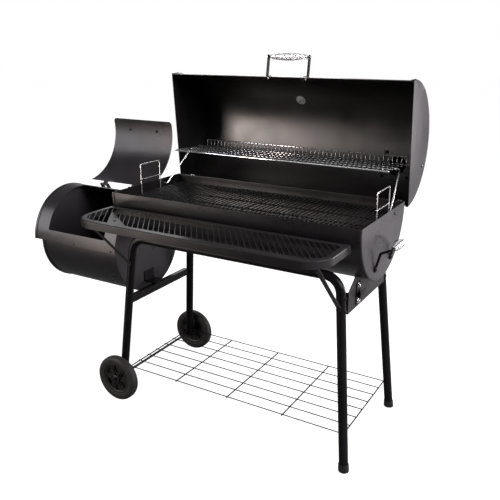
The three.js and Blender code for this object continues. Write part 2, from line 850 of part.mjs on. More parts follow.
function lidLeaf(x) {
  const inner = LID_R + GAP;
  const leaf = alongX(band(0, BARREL_Z, inner, inner + SHEET, 1, 12, 4), x - 10, x + 10);
  const eye = bar('x', HINGE_Y, HINGE_Z, x - 10, x + 10, 6, 12);
  const web = polygon([[220.5, 830], [227.5, 828], [224.4, 846], [222.4, 846], [222.2, 838]]);
  const neck = alongX(web, x - 10, x + 10);
  const bore = bar('x', HINGE_Y, HINGE_Z, x - 20, x + 20, 3.06, 16);
  return cut(joined(leaf, eye, neck), bore);
}

for (const [label, side] of [['left', -1], ['right', 1]]) {
  place(`barrel_hinge_${label}`, barrelLeaf(side * HINGE_X), LOOK.frame);
  onLid(`lid_hinge_${label}`, lidLeaf(side * HINGE_X), LOOK.frame);
}

// lid handle: two flat arms standing out of the lid and a coil grip between them
function radial(geometry, angle, r) {
  const a = rad(angle);
  geometry.rotateX(a - Math.PI / 2);
  return geometry.translate(0, r * Math.cos(a), BARREL_Z + r * Math.sin(a));
}

const GRIP_R = 76;

function handleArm(x) {
  const footX = x < 0 ? [x - 2, x + 16] : [x - 16, x + 2];
  const arm = box(x - 2, x + 2, -8, 8, 1, GRIP_R);
  const tip = bar('x', 0, GRIP_R, x - 2, x + 2, 8, 14);
  const foot = box(...footX, -8, 8, 1, 4);
  const skin = alongX(disc(0, BARREL_Z, LID_R + GAP, 128), -200, 200);
  return cut(radial(joined(arm, tip, foot), HANDLE_ANGLE, LID_R), skin);
}

onLid('lid_handle_arm_left', handleArm(-87), LOOK.frame);
onLid('lid_handle_arm_right', handleArm(87), LOOK.frame);
const lidGrip = joined(
  coilGrip(160, 15, 9, 3),
  bar('x', 0, 0, -84.6, 84.6, 4, 10),
);
onLid('lid_handle_coil', radial(lidGrip.translate(0, 0, GRIP_R), HANDLE_ANGLE, LID_R), LOOK.chrome);

// thermometer: dial head outside, probe through the lid, nut inside
function thermometer() {
  const profile = [
    [0, -52],
    [2.4, -50],
    [3, 0],
    [5, 0.2],
    [5, 6],
    [37, 8],
    [39, 12],
    [39, 24],
    [34, 26],
    [33, 24],
    [0, 24],
  ].map(([r, h]) => new THREE.Vector2(r, h));
  const body = new THREE.LatheGeometry(profile, 20).rotateX(Math.PI / 2);
  body.translate(THERMOMETER.x, 0, 0);
  return radial(body, THERMOMETER.angle, LID_R - SHEET);
}

function thermometerNut() {
  const shape = ring(0, 0, 20, 5.6, 20);
  const nut = alongZ(shape, -6, -1.2);
  nut.translate(THERMOMETER.x, 0, 0);
  return radial(nut, THERMOMETER.angle, LID_R - SHEET);
}

onLid('thermometer', thermometer(), LOOK.chrome);
onLid('thermometer_nut', thermometerNut(), LOOK.chrome);

// chimney: a pipe welded to a curved flange, with a swinging cap
function chimneyPipe() {
  const { x, y, r } = CHIMNEY;
  const skinR = LID_R + GAP;
  const pipe = bar('z', x, y, 950, CHIMNEY_TOP, r, 20);
  const pad = bar('z', x, y, 900, 1200, r + 16, 20);
  const skin = alongX(band(0, BARREL_Z, skinR - 6, skinR + 2.5, 20, 90, 12), x - 80, x + 80);
  const lug = box(x - 7, x + 7, y - r - 12, y - r + 1, CHIMNEY_TOP - 14, CHIMNEY_TOP);
  const pin = bar('z', x, y - r - 6, CHIMNEY_TOP - 8, CHIMNEY_TOP + 6, 3, 12);
  const inside = alongX(disc(0, BARREL_Z, skinR, 62), x - 100, x + 100);
  const bore = bar('z', x, y, 900, CHIMNEY_TOP + 50, r - SHEET, 20);
  return cut(joined(pipe, common(pad, skin), lug, pin), inside, bore);
}

function chimneyCap() {
  const low = CHIMNEY_TOP + GAP;
  const pinY = CHIMNEY.y - CHIMNEY.r - 6;
  const plate = bar('z', CHIMNEY.x, CHIMNEY.y, low, low + SHEET, CHIMNEY.r + 4, 28);
  const ear = bar('z', CHIMNEY.x, pinY, low, low + SHEET, 9, 14);
  const web = box(CHIMNEY.x - 9, CHIMNEY.x + 9, pinY, CHIMNEY.y - 20, low, low + SHEET);
  const hole = bar('z', CHIMNEY.x, pinY, low - 20, low + 20, 3.2, 12);
  return cut(joined(plate, ear, web), hole);
}

onLid('chimney_pipe', chimneyPipe(), LOOK.shell);
onLid('chimney_cap', chimneyCap(), LOOK.shell);

// ---------- warming rack on its swinging legs ----------
const RACK_FRONT = [140, 965];
const RACK_TOP = [374, 981];

function onRack(t) {
  return [
    RACK_FRONT[0] + (RACK_PIN[0] - RACK_FRONT[0]) * t,
    RACK_FRONT[1] + (RACK_PIN[1] - RACK_FRONT[1]) * t,
  ];
}

function warmingRack() {
  const pinR = 2.6;
  const wireR = 1.7;
  const bite = 0.6;
  const pieces = [];
  for (const [t, r, reach] of [[0, 3, 8], [0.33, 2.2, 2], [0.66, 2.2, 2], [1, pinR, 0]]) {
    const [y, z] = onRack(t);
    pieces.push(bar('x', y, z + pinR - r, -RACK_HALF - reach, RACK_HALF + reach, r, 6));
  }
  pieces.push(bar('x', ...RACK_TOP, -RACK_HALF - 2, RACK_HALF + 2, 2.2, 6));
  const run = RACK_PIN[0] - RACK_FRONT[0];
  const fall = RACK_PIN[1] - RACK_FRONT[1];
  const length = Math.hypot(run, fall) + 10;
  const lift = pinR + wireR - bite;
  for (let i = 0; i < RACK_WIRES; i += 1) {
    const x = -RACK_HALF + (2 * RACK_HALF * i) / (RACK_WIRES - 1);
    const wire = bar('y', 0, 0, -length / 2, length / 2, wireR, 4);
    wire.rotateX(Math.atan2(fall, run));
    wire.translate(x, RACK_FRONT[0] + run / 2, RACK_FRONT[1] + fall / 2 + lift);
    pieces.push(wire);
    if (i % 3 === 0) {
      pieces.push(bar('z', x, RACK_TOP[0] - 3.2, RACK_PIN[1] + lift - 0.4, RACK_TOP[1] + 3, 1.6, 4));
    }
  }
  pieces.push(bar('x', ...RACK_PIN, -512, -RACK_HALF + 2, pinR, 14));
  pieces.push(bar('x', ...RACK_PIN, RACK_HALF - 2, 512, pinR, 14));
  pieces.push(bar('x', ...LEG_HEAD, -RACK_HALF - 3, -RACK_HALF + 4, 6, 12));
  pieces.push(bar('x', ...LEG_HEAD, RACK_HALF - 4, RACK_HALF + 3, 6, 12));
  const eyes = bar('x', ...LEG_HEAD, -600, 600, 2.58, 14);
  return cut(joined(...pieces), eyes);
}

place('warming_rack', warmingRack(), LOOK.chrome);

function rackLeg(side) {
  const foot = side * 484;
  const head = side * 463;
  return rod(
    [
      [side * 506, LEG_FOOT[0], LEG_FOOT[1]],
      [foot, LEG_FOOT[0], LEG_FOOT[1]],
      [head, LEG_HEAD[0], LEG_HEAD[1]],
      [side * 444, LEG_HEAD[0], LEG_HEAD[1]],
    ],
    2.5,
    { sides: 14, bend: 3, steps: 1 },
  );
}

place('rack_leg_left', rackLeg(-1), LOOK.chrome);
place('rack_leg_right', rackLeg(1), LOOK.chrome);

// ---------- firebox ----------
function fireboxLower() {
  const lift = 3;
  const outline = band(0, FIREBOX_Z, FIREBOX_LOW_R - SHEET, FIREBOX_LOW_R, -180 - lift, lift, 28);
  return alongX(outline, FIREBOX_LOW_LEFT, FIREBOX_RIGHT);
}

function fireboxUpper() {
  const edge = THREE.MathUtils.radToDeg(Math.asin((FIREBOX_SEAM - FIREBOX_Z) / FIREBOX_TOP_R));
  const outline = band(0, FIREBOX_Z, FIREBOX_TOP_R - SHEET, FIREBOX_TOP_R, edge, 180 - edge, 28);
  const shell = alongX(outline, FIREBOX_TOP_LEFT, FIREBOX_RIGHT);
  const opening = alongX(
    band(0, FIREBOX_Z, 190, 220, OPENING.back, OPENING.front, 18),
    OPENING.left,
    OPENING.right,
  );
  return cut(shell, opening);
}

place('firebox_shell_lower', fireboxLower(), LOOK.shell);
place('firebox_shell_upper', fireboxUpper(), LOOK.shell);

// right end plate with the collar that meets the barrel
function fireboxEndRight() {
  const x = FIREBOX_RIGHT + GAP;
  const low = arcPoints(0, FIREBOX_Z, FIREBOX_LOW_R + 1, -180, 0, 24).map((p) => [p.x, p.y]);
  const high = arcPoints(0, FIREBOX_Z, FIREBOX_TOP_R, 2.4, 177.6, 24).map((p) => [p.x, p.y]);
  const plate = alongX(polygon([...low, ...high]), x, x + SHEET);
  const collar = alongX(new THREE.Shape(lens(4)), x + 1, -BARREL_HALF - 2 * GAP - SHEET);
  const passage = alongX(new THREE.Shape(lens(0)), x - 10, x + 30);
  return cut(joined(plate, collar), passage);
}

place('firebox_end_right', fireboxEndRight(), LOOK.shell);

// left end plate of the lower half, carrying the air vents
function ventSlots(x0, x1) {
  const slots = [];
  for (let i = 0; i < 3; i += 1) {
    const mid = 90 + 120 * i;
    slots.push(alongX(band(0, 500, 18, 42, mid - 24, mid + 24, 4), x0, x1));
  }
  return slots;
}

function fireboxEndLeft() {
  const x = FIREBOX_LOW_LEFT - GAP;
  const wrap = FIREBOX_LOW_R + 0.9 + SHEET;
  const low = arcPoints(0, FIREBOX_Z, wrap, -180, 0, 24).map((p) => [p.x, p.y]);
  const high = arcPoints(0, FIREBOX_Z, FIREBOX_TOP_R - SHEET - GAP, 1, 179, 24).map((p) => [p.x, p.y]);
  const block = alongX(polygon([...low, ...high]), x - SHEET, x + 10);
  const drum = alongX(disc(0, FIREBOX_Z, wrap - SHEET, 48), x, x + 20);
  const aboveSeam = box(x, x + 20, -260, 260, FIREBOX_Z, FIREBOX_Z + 260);
  const pin = bar('x', 0, 500, x - SHEET - 8, x - 1, 4, 16);
  return cut(joined(cut(block, drum, aboveSeam), pin), ...ventSlots(x - 3, x + 1));
}

place('firebox_end_left', fireboxEndLeft(), LOOK.shell);

function airDamper() {
  const x = FIREBOX_LOW_LEFT - GAP - SHEET - GAP;
  const plate = bar('x', 0, 500, x - SHEET, x, 52, 28);
  const tab = box(x - 14, x, -8, 8, 446, 454);
  const bore = bar('x', 0, 500, x - 30, x + 30, 4.2, 16);
  return cut(joined(plate, tab), bore, ...ventSlots(x - 5, x + 1));
}

place('air_damper', airDamper(), LOOK.frame);

// left cap of the upper half
function fireboxCap() {
  const r = FIREBOX_TOP_R + GAP + SHEET;
  const arch = arcPoints(0, FIREBOX_Z, r, 2.4, 177.6, 28).map((p) => [p.x, p.y]);
  const inside = arcPoints(0, FIREBOX_Z, r - SHEET, 2.4, 177.6, 28).map((p) => [p.x, p.y]);
  const pocket = polygon([...inside, [-r + SHEET, FIREBOX_Z - 5], [r - SHEET, FIREBOX_Z - 5]]);
  return pan(polygon(arch), pocket, FIREBOX_TOP_LEFT - GAP - SHEET, FIREBOX_TOP_LEFT + 10);
}

place('firebox_cap_left', fireboxCap(), LOOK.shell);

function fuelGrate() {
  const pieces = [];
  for (const x of [-890, -720, -545]) {
    pieces.push(bar('y', x, 517, -183, 183, 3.5, 6));
  }
  for (let i = 0; i < 7; i += 1) {
    const y = -156 + 52 * i;
    pieces.push(bar('x', y, 523.6, -908, -526, 4, 4));
  }
  return joined(...pieces);
}

place('firebox_grate', fuelGrate(), LOOK.iron);

// ---------- firebox door, drawn closed and turned open about its hinge ----------
const door = new THREE.Group();
door.name = 'door';
door.position.set(0, DOOR_AXIS[0], DOOR_AXIS[1]);
door.rotation.x = -rad(DOOR_OPEN);
grill.add(door);

function onDoor(name, geometry, material) {
  return place(name, geometry.translate(0, -DOOR_AXIS[0], -DOOR_AXIS[1]), material, door);
}

function fixedDoorHinge(x) {
  const inner = FIREBOX_TOP_R + GAP;
  const leaf = alongX(band(0, FIREBOX_Z, inner, inner + SHEET, 50, 69, 5), x - 22, x + 22);
  const web = polygon([[84, 775.5], [92, 774], [78.5, 796.5], [71.5, 789.5], [76, 781]]);
  const pieces = [leaf];
  for (const [x0, x1] of [[x - 22, x - 10.5], [x + 10.5, x + 22]]) {
    pieces.push(bar('x', ...DOOR_AXIS, x0, x1, 5.5, 12));
    pieces.push(alongX(web, x0, x1));
  }
  pieces.push(bar('x', ...DOOR_AXIS, x - 21, x + 21, 3, 16));
  return joined(...pieces);
}

const DOOR_EDGE = 168;           // degrees, free edge of the closed door

function fireboxDoorPlate() {
  const skin = band(0, FIREBOX_Z, DOOR_R, DOOR_R + SHEET, 73, DOOR_EDGE, 18);
  const plate = alongX(skin, DOOR_LEFT, DOOR_RIGHT);
  const web = polygon([[70, 797.5], [71, 790], [58, 786], [50, 788.5], [50, 791.5]]);
  const eyes = [];
  for (const x of DOOR_HINGES) {
    eyes.push(bar('x', ...DOOR_AXIS, x - 10, x + 10, 5.5, 12));
    eyes.push(alongX(web, x - 10, x + 10));
  }
  const bores = DOOR_HINGES.map((x) => bar('x', ...DOOR_AXIS, x - 20, x + 20, 3.06, 16));
  return cut(joined(plate, ...eyes), ...bores);
}

// rounds off one free corner of the door; inward is the way from the corner along the door
function doorCorner(x, inward) {
  const r = 15;
  const a = rad(DOOR_EDGE);
  const spanX = [x - inward * 5, x + inward * r].sort((p, q) => p - q);
  const block = box(...spanX, -r, 6, -30, 30);
  const round = bar('z', x + inward * r, -r, -40, 40, r, 20);
  const tool = cut(block, round).rotateX(a - Math.PI / 2);
  return tool.translate(0, DOOR_R * Math.cos(a), FIREBOX_Z + DOOR_R * Math.sin(a));
}

const doorPlate = cut(fireboxDoorPlate(), doorCorner(DOOR_LEFT, 1), doorCorner(DOOR_RIGHT, -1));
onDoor('firebox_door', doorPlate, LOOK.shell);

for (const [label, x] of [['left', DOOR_HINGES[0]], ['right', DOOR_HINGES[1]]]) {
  place(`firebox_hinge_${label}`, fixedDoorHinge(x), LOOK.frame);
}

// door handle: bent rod with a coil grip, on the outside of the door
const DOOR_HANDLE = { angle: 154.8, left: -800, right: -650, reach: 48 };

function onDoorSkin(geometry) {
  const a = rad(DOOR_HANDLE.angle);
  const r = DOOR_R + SHEET;
  geometry.rotateX(a - Math.PI / 2);
  return geometry.translate(0, r * Math.cos(a), FIREBOX_Z + r * Math.sin(a));
}

function doorHandleRod() {
  const { left, right, reach } = DOOR_HANDLE;
  const bent = rod(
    [
      [left, 0, 0.6],
      [left, 0, reach * 0.55],
      [left + 22, 0, reach],
      [right - 22, 0, reach],
      [right, 0, reach * 0.55],
      [right, 0, 0.6],
    ],
    4.5,
    { sides: 7, bend: 8, steps: 2 },
  );
  const feet = [left, right].map((x) => bar('z', x, 0, 0.6, 4, 9, 12));
  return onDoorSkin(joined(bent, ...feet));
}

onDoor('firebox_handle_rod', doorHandleRod(), LOOK.frame);
const doorCoil = coilGrip(92, 13, 8.5, 5);
doorCoil.translate((DOOR_HANDLE.left + DOOR_HANDLE.right) / 2, 0, DOOR_HANDLE.reach);
onDoor('firebox_handle_coil', onDoorSkin(doorCoil), LOOK.chrome);

export default grill;
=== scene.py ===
"""Looks of the barrel charcoal grill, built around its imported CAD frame.

Lengths are millimetres, drawn with the lid and the firebox door closed; piece() scales and opens them.
"""
import json
import math

import bmesh
import bpy
from mathutils import Matrix, Vector
from mathutils.geometry import delaunay_2d_cdt


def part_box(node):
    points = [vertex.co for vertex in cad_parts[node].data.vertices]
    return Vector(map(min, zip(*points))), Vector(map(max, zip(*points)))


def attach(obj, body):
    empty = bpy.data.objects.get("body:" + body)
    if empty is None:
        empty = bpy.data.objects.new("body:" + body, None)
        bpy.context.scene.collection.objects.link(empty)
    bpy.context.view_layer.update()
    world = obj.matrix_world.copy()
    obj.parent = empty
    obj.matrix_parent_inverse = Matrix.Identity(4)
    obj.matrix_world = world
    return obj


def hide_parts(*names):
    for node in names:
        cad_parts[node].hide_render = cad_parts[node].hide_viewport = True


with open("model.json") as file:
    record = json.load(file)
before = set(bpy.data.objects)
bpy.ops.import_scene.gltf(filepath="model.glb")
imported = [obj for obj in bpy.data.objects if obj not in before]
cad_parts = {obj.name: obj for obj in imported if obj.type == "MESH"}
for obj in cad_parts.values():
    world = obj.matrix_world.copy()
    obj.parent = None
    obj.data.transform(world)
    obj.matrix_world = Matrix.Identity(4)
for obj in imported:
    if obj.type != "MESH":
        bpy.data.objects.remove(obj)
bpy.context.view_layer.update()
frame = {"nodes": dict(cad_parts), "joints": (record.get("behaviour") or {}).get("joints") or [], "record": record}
record = frame["record"]
joints = {j["name"]: j for j in frame["joints"]}
body_of = {n: b for b, nodes in record["behaviour"]["bodies"].items() for n in nodes}

MM = 0.001
GAP = 0.3                       # space between neighbouring pieces
SHEET = 2.0                     # sheet thickness

# The drawing's own origin is on the floor under the middle of the barrel.
barrel_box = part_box("barrel_shell")
ORIGIN = Vector(((barrel_box[0].x + barrel_box[1].x) / 2, (barrel_box[0].y + barrel_box[1].y) / 2, 0.0))
DRAWN = Matrix.Translation(ORIGIN)


# ---------------------------------------------------------------- frame values
def turn_about(joint, degrees):
    """Turn about a joint's axis, in metres."""
    at = Vector(joints[joint]["pos_m"])
    spin = Matrix.Rotation(math.radians(degrees), 4, Vector(joints[joint]["axis"]))
    return Matrix.Translation(at) @ spin @ Matrix.Translation(-at)


LID_OPEN = turn_about("lid_hinge", -joints["lid_hinge"]["range_deg"][1])
DOOR_OPEN = turn_about("firebox_door_hinge", -joints["firebox_door_hinge"]["range_deg"][1])


def span(node, drawn=None):
    """Lowest and highest corner of a CAD node in mm, turned back to where it is drawn closed."""
    back = DRAWN.inverted() @ (drawn.inverted() if drawn else Matrix.Identity(4))
    points = [back @ v.co for v in frame["nodes"][node].data.vertices]
    low = Vector([min(p[i] for p in points) for i in range(3)]) / MM
    high = Vector([max(p[i] for p in points) for i in range(3)]) / MM
    return low, high


def pivot(joint):
    return (Vector(joints[joint]["pos_m"]) - ORIGIN) / MM


# ---------------------------------------------------------------- solids
def polar(r, degrees):
    a = math.radians(degrees)
    return r * math.cos(a), r * math.sin(a)


def circle(cx, cy, r, sides=32):
    turns = [2 * math.pi * k / sides for k in range(sides)]
    return [(cx + r * math.cos(a), cy + r * math.sin(a)) for a in turns]


class Solid:
    """Points and faces of one closed piece, or of several joined ones."""

    def __init__(self):
        self.points = []
        self.faces = []

    def add(self, points, faces):
        start = len(self.points)
        self.points += [Vector(p) for p in points]
        self.faces += [[start + i for i in f] for f in faces]
        return self

    def join(self, other, matrix=None):
        points = other.points if matrix is None else [matrix @ p for p in other.points]
        return self.add(points, other.faces)

    def moved(self, matrix):
        return Solid().join(self, matrix)

    def at(self, x, y, z):
        return self.moved(Matrix.Translation((x, y, z)))


def loft(loops, caps=True, ring=False):
    """Skin over loops of equally many points; ring joins the last loop to the first."""
    n = len(loops[0])
    faces = []
    count = len(loops)
    for k in range(count if ring else count - 1):
        a, b = k * n, ((k + 1) % count) * n
        for i in range(n):
            j = (i + 1) % n
            faces.append([a + i, a + j, b + j, b + i])
    if caps and not ring:
        faces.append(list(range(n))[::-1])
        faces.append(list(range((count - 1) * n, count * n)))
    return Solid().add([p for loop in loops for p in loop], faces)


def bent(corners, radius, steps=8):
    """Path through corners with rounded bends."""
    pts = [Vector(c) for c in corners]
    path = [pts[0]]
    for before, at, after in zip(pts, pts[1:], pts[2:]):
        d0 = (at - before).normalized()
        d1 = (after - at).normalized()
        angle = d0.angle(d1)
        axis = d0.cross(d1).normalized()
        start = at - d0 * radius * math.tan(angle / 2)
        centre = start + axis.cross(d0) * radius
        for k in range(steps + 1):
            path.append(centre + Matrix.Rotation(angle * k / steps, 3, axis) @ (start - centre))
    path.append(pts[-1])
    return path


def sweep(path, r, sides=12, ring=False, ends=0.0):
    """Round rod along a path; ends rounds the tips by that much."""
    path = [Vector(p) for p in path]
    n = len(path)
    radii = [r] * n
    if ends and not ring:
        d0 = (path[1] - path[0]).normalized()
        d1 = (path[-1] - path[-2]).normalized()
        path = [path[0], path[0] + d0 * ends] + path[1:-1] + [path[-1] - d1 * ends, path[-1]]
        radii = [r - ends, r] + [r] * (n - 2) + [r, r - ends]
        n = len(path)
    tangents = []
    for i in range(n):
        ahead = path[(i + 1) % n] if ring or i < n - 1 else path[i]
        behind = path[i - 1] if ring or i > 0 else path[i]
        tangents.append((ahead - behind).normalized())
    side = tangents[0].orthogonal().normalized()
    loops = []
    for i in range(n):
        side = (side - tangents[i] * side.dot(tangents[i])).normalized()
        up = tangents[i].cross(side)
        loops.append([path[i] + (side * c + up * s) * radii[i] for c, s in circle(0, 0, 1, sides)])
    return loft(loops, ring=ring)


def rod(corners, r, sides=12, bend=0.0, steps=8, ends=0.0):
    return sweep(bent(corners, bend, steps) if bend else corners, r, sides, ends=ends)


def along_x(x0, x1, y, z, r, sides=12, ends=0.0):
    return rod([(x0, y, z), (x1, y, z)], r, sides, ends=ends)


def along_y(x, y0, y1, z, r, sides=12, ends=0.0):
    return rod([(x, y0, z), (x, y1, z)], r, sides, ends=ends)


def lathe(profile, sides=32):
    """Profile of (radius, height) turned about Z; closed by its first and last point."""
    loops = [[(x, y, h) for x, y in circle(0, 0, r, sides)] for r, h in profile]
    ring = profile[0][0] > 0 and profile[-1][0] > 0
    return loft(loops, caps=False, ring=ring)


def facing(at, normal):
    """Matrix that stands local Z on a surface point, along normal."""
    turn = Vector(normal).to_track_quat("Z", "Y").to_matrix().to_4x4()
    return Matrix.Translation(Vector(at)) @ turn


def arc(cx, cy, r, start, end, steps):
    turns = [math.radians(start + (end - start) * k / steps) for k in range(steps + 1)]
    return [(cx + r * math.cos(a), cy + r * math.sin(a)) for a in turns]


def strip(outer, inner, x0, x1):
    """Sheet pulled along X between two matching (y, z) lines."""
    loops = [[(x0, *o), (x1, *o), (x1, *i), (x0, *i)] for o, i in zip(outer, inner)]
    return loft(loops)


def inside(point, polygon):
    x, y = point
    hit = False
    for (x0, y0), (x1, y1) in zip(polygon, polygon[1:] + polygon[:1]):
        if (y0 > y) != (y1 > y) and x < (x1 - x0) * (y - y0) / (y1 - y0) + x0:
            hit = not hit
    return hit


def plate(outline, holes, low, high, grid=0.0, wrap=None):
    """Flat plate with holes between two heights. wrap bends it: wrap(x, y, height) gives the point."""
    tall = math.radians(high) if wrap else 1.0
    outline = [(x, y * tall) for x, y in outline]
    holes = [[(x, y * tall) for x, y in loop] for loop in holes]
    loops = [outline] + holes
    points, edges = [], []
    for loop in loops:
        start = len(points)
        points += [Vector(p) for p in loop]
        edges += [(start + i, start + (i + 1) % len(loop)) for i in range(len(loop))]
    if grid:
        xs, ys = [p[0] for p in outline], [p[1] for p in outline]
        gx, gy = grid if isinstance(grid, tuple) else (grid, grid)
        nx = max(1, round((max(xs) - min(xs)) / gx))
        ny = max(1, round((max(ys) - min(ys)) / (gy * tall)))
        clear = min(gx, gy * tall) * 0.35
        border = [Vector(p) for loop in loops[1:] for p in loop]
        for i in range(1, nx):
            for j in range(1, ny):
                p = (min(xs) + (max(xs) - min(xs)) * i / nx, min(ys) + (max(ys) - min(ys)) * j / ny)
                if not inside(p, outline) or any(inside(p, h) for h in holes):
                    continue
                if all((Vector(p) - q).length > clear for q in border):
                    points.append(Vector(p))
    verts, _, tris, _, _, _ = delaunay_2d_cdt(points, edges, [], 0, 1e-4)
    keep = []
    for tri in tris:
        c = sum((verts[i] for i in tri), Vector((0, 0))) / len(tri)
        if inside(c, outline) and not any(inside(c, h) for h in holes):
            keep.append(list(tri))
    n = len(verts)
    place = wrap or (lambda x, y, h: (x, y, h))
    solid = [place(v.x, v.y / tall, h) for h in (high, low) for v in verts]
    faces = keep + [[i + n for i in reversed(tri)] for tri in keep]
    seen = {}
    for tri in keep:
        for a, b in zip(tri, tri[1:] + tri[:1]):
            seen[(a, b)] = seen.get((a, b), 0) + 1
    for a, b in seen:
        if (b, a) not in seen:
            faces.append([a, a + n, b + n, b])
    return Solid().add(solid, faces)


def rounded(x0, x1, y0, y1, r, steps=5):
    """Rectangle outline with rounded corners, anticlockwise."""
    middles = [(x1 - r, y1 - r), (x0 + r, y1 - r), (x0 + r, y0 + r), (x1 - r, y0 + r)]
    return [p for i, at in enumerate(middles) for p in arc(*at, r, 90 * i, 90 * i + 90, steps)]


def stepped(x0, x1, y0, y1, nx, ny):
    """Rectangle outline, anticlockwise, with its sides cut into nx and ny steps."""
    across = [(x1 - x0) * k / nx for k in range(nx)]
    upward = [(y1 - y0) * k / ny for k in range(ny)]
    return ([(x0 + d, y0) for d in across] + [(x1, y0 + d) for d in upward]
            + [(x1 - d, y1) for d in across] + [(x0, y1 - d) for d in upward])


def wrapped(cz):
    """Bends a plate drawn in (x, arc degrees) round the X axis at height cz; heights are radii."""
    def place(x, degrees, r):
        a = math.radians(degrees)
        return (x, r * math.cos(a), cz + r * math.sin(a))
    return place


def block(x0, x1, y0, y1, z0, z1):
    loops = [[(x, y0, z0), (x, y1, z0), (x, y1, z1), (x, y0, z1)] for x in (x0, x1)]
    return loft(loops)


def swung(profile, axis_z, stations):
    """Outline of (radius, x) carried round X through stations of (degrees, rise)."""
    loops = []
    for degrees, rise in stations:
        c, s = polar(1, degrees)
        loops.append([(x, q * c, axis_z + q * s + rise) for q, x in profile])
    return loft(loops)


def half_turn(start, end, lift, steps=72):
    """Stations from start to end degrees, with a straight rise of lift at both ends."""
    stations = [(start + (end - start) * k / steps, 0.0) for k in range(steps + 1)]
    return [(start, lift), *stations, (end, lift)] if lift else stations


def pan_end(axis_z, r, face, lip, start, end, lift=0.0, fillet=4.0):
    """Pressed end cap: half disc with a rounded edge and a flange reaching to lip."""
    inward = 1 if lip > face else -1
    inner = max(fillet - SHEET, 0.5)
    outer_round = arc(r - fillet, 0, fillet, 90, 0, 5)[1:]
    inner_round = arc(r - fillet, 0, inner, 0, 90, 5)
    profile = [(0.0, face), (r - fillet, face)]
    profile += [(q, face + inward * (fillet - h)) for q, h in outer_round]
    profile += [(r, lip), (r - SHEET, lip)]
    profile += [(q, face + inward * (fillet - h)) for q, h in inner_round]
    profile.append((0.0, face + inward * SHEET))
    return swung(profile, axis_z, half_turn(start, end, lift))


def coil(length, r_mid, r_end, turns, wire, per_turn=22):
    """Wound barrel-shaped spring grip along X, centred on the origin."""
    path = []
    count = int(turns * per_turn)
    for k in range(count + 1):
        t = k / count
        r = r_end + (r_mid - r_end) * math.sin(math.pi * t) ** 0.85
        a = 2 * math.pi * turns * t
        path.append((length * (t - 0.5), r * math.cos(a), r * math.sin(a)))
    return sweep(path, wire, 8, ends=0.6)


def dome_bolt(r, h):
    """Carriage bolt head."""
    dome = [(polar(r, a)[0], polar(h, a)[1]) for a in (12, 30, 50, 70)]
    return lathe([(0, 0), (r, 0), *dome, (0, h)], 24)


def pan_screw(r, h):
    """Pan head with a cross recess."""
    head = lathe([(0, 0), (r, 0), (r, h * 0.45), (r * 0.86, h * 0.82), (r * 0.6, h), (r * 0.42, h),
                  (r * 0.3, h * 0.55), (0, h * 0.5)], 24)
    wing = block(r * 0.32, r * 0.52, -r * 0.1, r * 0.1, h * 0.4, h * 0.98)
    for k in range(4):
        head.join(wing.moved(Matrix.Rotation(math.radians(45 + 90 * k), 4, "Z")))
    return head


def hex_nut(r, h, washer=0.0):
    """Hexagon nut with chamfered corners on a washer, and the bolt's end standing out of it."""
    out = Solid()
    base = 1.3 if washer else 0.0
    top = base + h
    if washer:
        out.join(lathe([(0, 0), (washer, 0), (washer, 1.0), (washer - 0.3, base), (0, base)], 28))
    levels = ((r * 0.93, base), (r, base + h * 0.12), (r, base + h * 0.85), (r * 0.9, top))
    out.join(loft([[(x, y, z) for x, y in circle(0, 0, q, 6)] for q, z in levels]))
    thread = r * 0.42
    tip = [(0, top - 0.1), (thread, top - 0.1), (thread, top + 1.6), (r * 0.34, top + 2.2), (0, top + 2.2)]
    return out.join(lathe(tip, 20))


# ---------------------------------------------------------------- materials
def nodes_of(name):
    """A new material with its tree, main shader and object coordinates."""
    mat = bpy.data.materials.new(name)
    mat.use_nodes = True
    tree = mat.node_tree
    shader = tree.nodes["Principled BSDF"]
    coords = tree.nodes.new("ShaderNodeTexCoord")
    return mat, tree, shader, coords


def noise(tree, coords, scale, detail=3.0, rough=0.55):
    node = tree.nodes.new("ShaderNodeTexNoise")
    node.inputs["Scale"].default_value = scale
    node.inputs["Detail"].default_value = detail
    node.inputs["Roughness"].default_value = rough
    tree.links.new(coords.outputs["Object"], node.inputs["Vector"])
    return node.outputs["Fac"]


def ramp(tree, fac, stops):
    node = tree.nodes.new("ShaderNodeValToRGB")
    band = node.color_ramp
    while len(band.elements) < len(stops):
        band.elements.new(0.5)
    for element, (at, colour) in zip(band.elements, stops):
        element.position = at
        element.color = (*colour, 1.0) if not isinstance(colour, float) else (colour, colour, colour, 1.0)
    tree.links.new(fac, node.inputs["Fac"])
    return node.outputs["Color"]


def bump(tree, shader, layers):
    """layers: (height output, strength, distance in metres), chained."""
    previous = None
    for height, strength, distance in layers:
        node = tree.nodes.new("ShaderNodeBump")
        node.inputs["Strength"].default_value = strength
        node.inputs["Distance"].default_value = distance
        tree.links.new(height, node.inputs["Height"])
        if previous:
            tree.links.new(previous, node.inputs["Normal"])
        previous = node.outputs["Normal"]
    tree.links.new(previous, shader.inputs["Normal"])


def painted(name, dark, light, rough, grain=700.0, peel=0.12, haze=4.0, gloss=0.28):
    """Stoved paint on sheet steel: slow tone drift, satin patches, orange peel and fine grain."""
    mat, tree, shader, coords = nodes_of(name)
    drift = ramp(tree, noise(tree, coords, haze, 4.0), [(0.35, dark), (0.68, light)])
    tree.links.new(drift, shader.inputs["Base Color"])
    patches = ramp(tree, noise(tree, coords, 9.0, 5.0, 0.6), [(0.3, rough - 0.05), (0.7, rough + 0.07)])
    tree.links.new(patches, shader.inputs["Roughness"])
    shader.inputs["Specular IOR Level"].default_value = gloss
    bump(tree, shader, [
        (noise(tree, coords, 18.0, 2.0), 0.06, 0.002),
        (noise(tree, coords, grain, 2.0, 0.5), peel, 0.0002),
    ])
    return mat


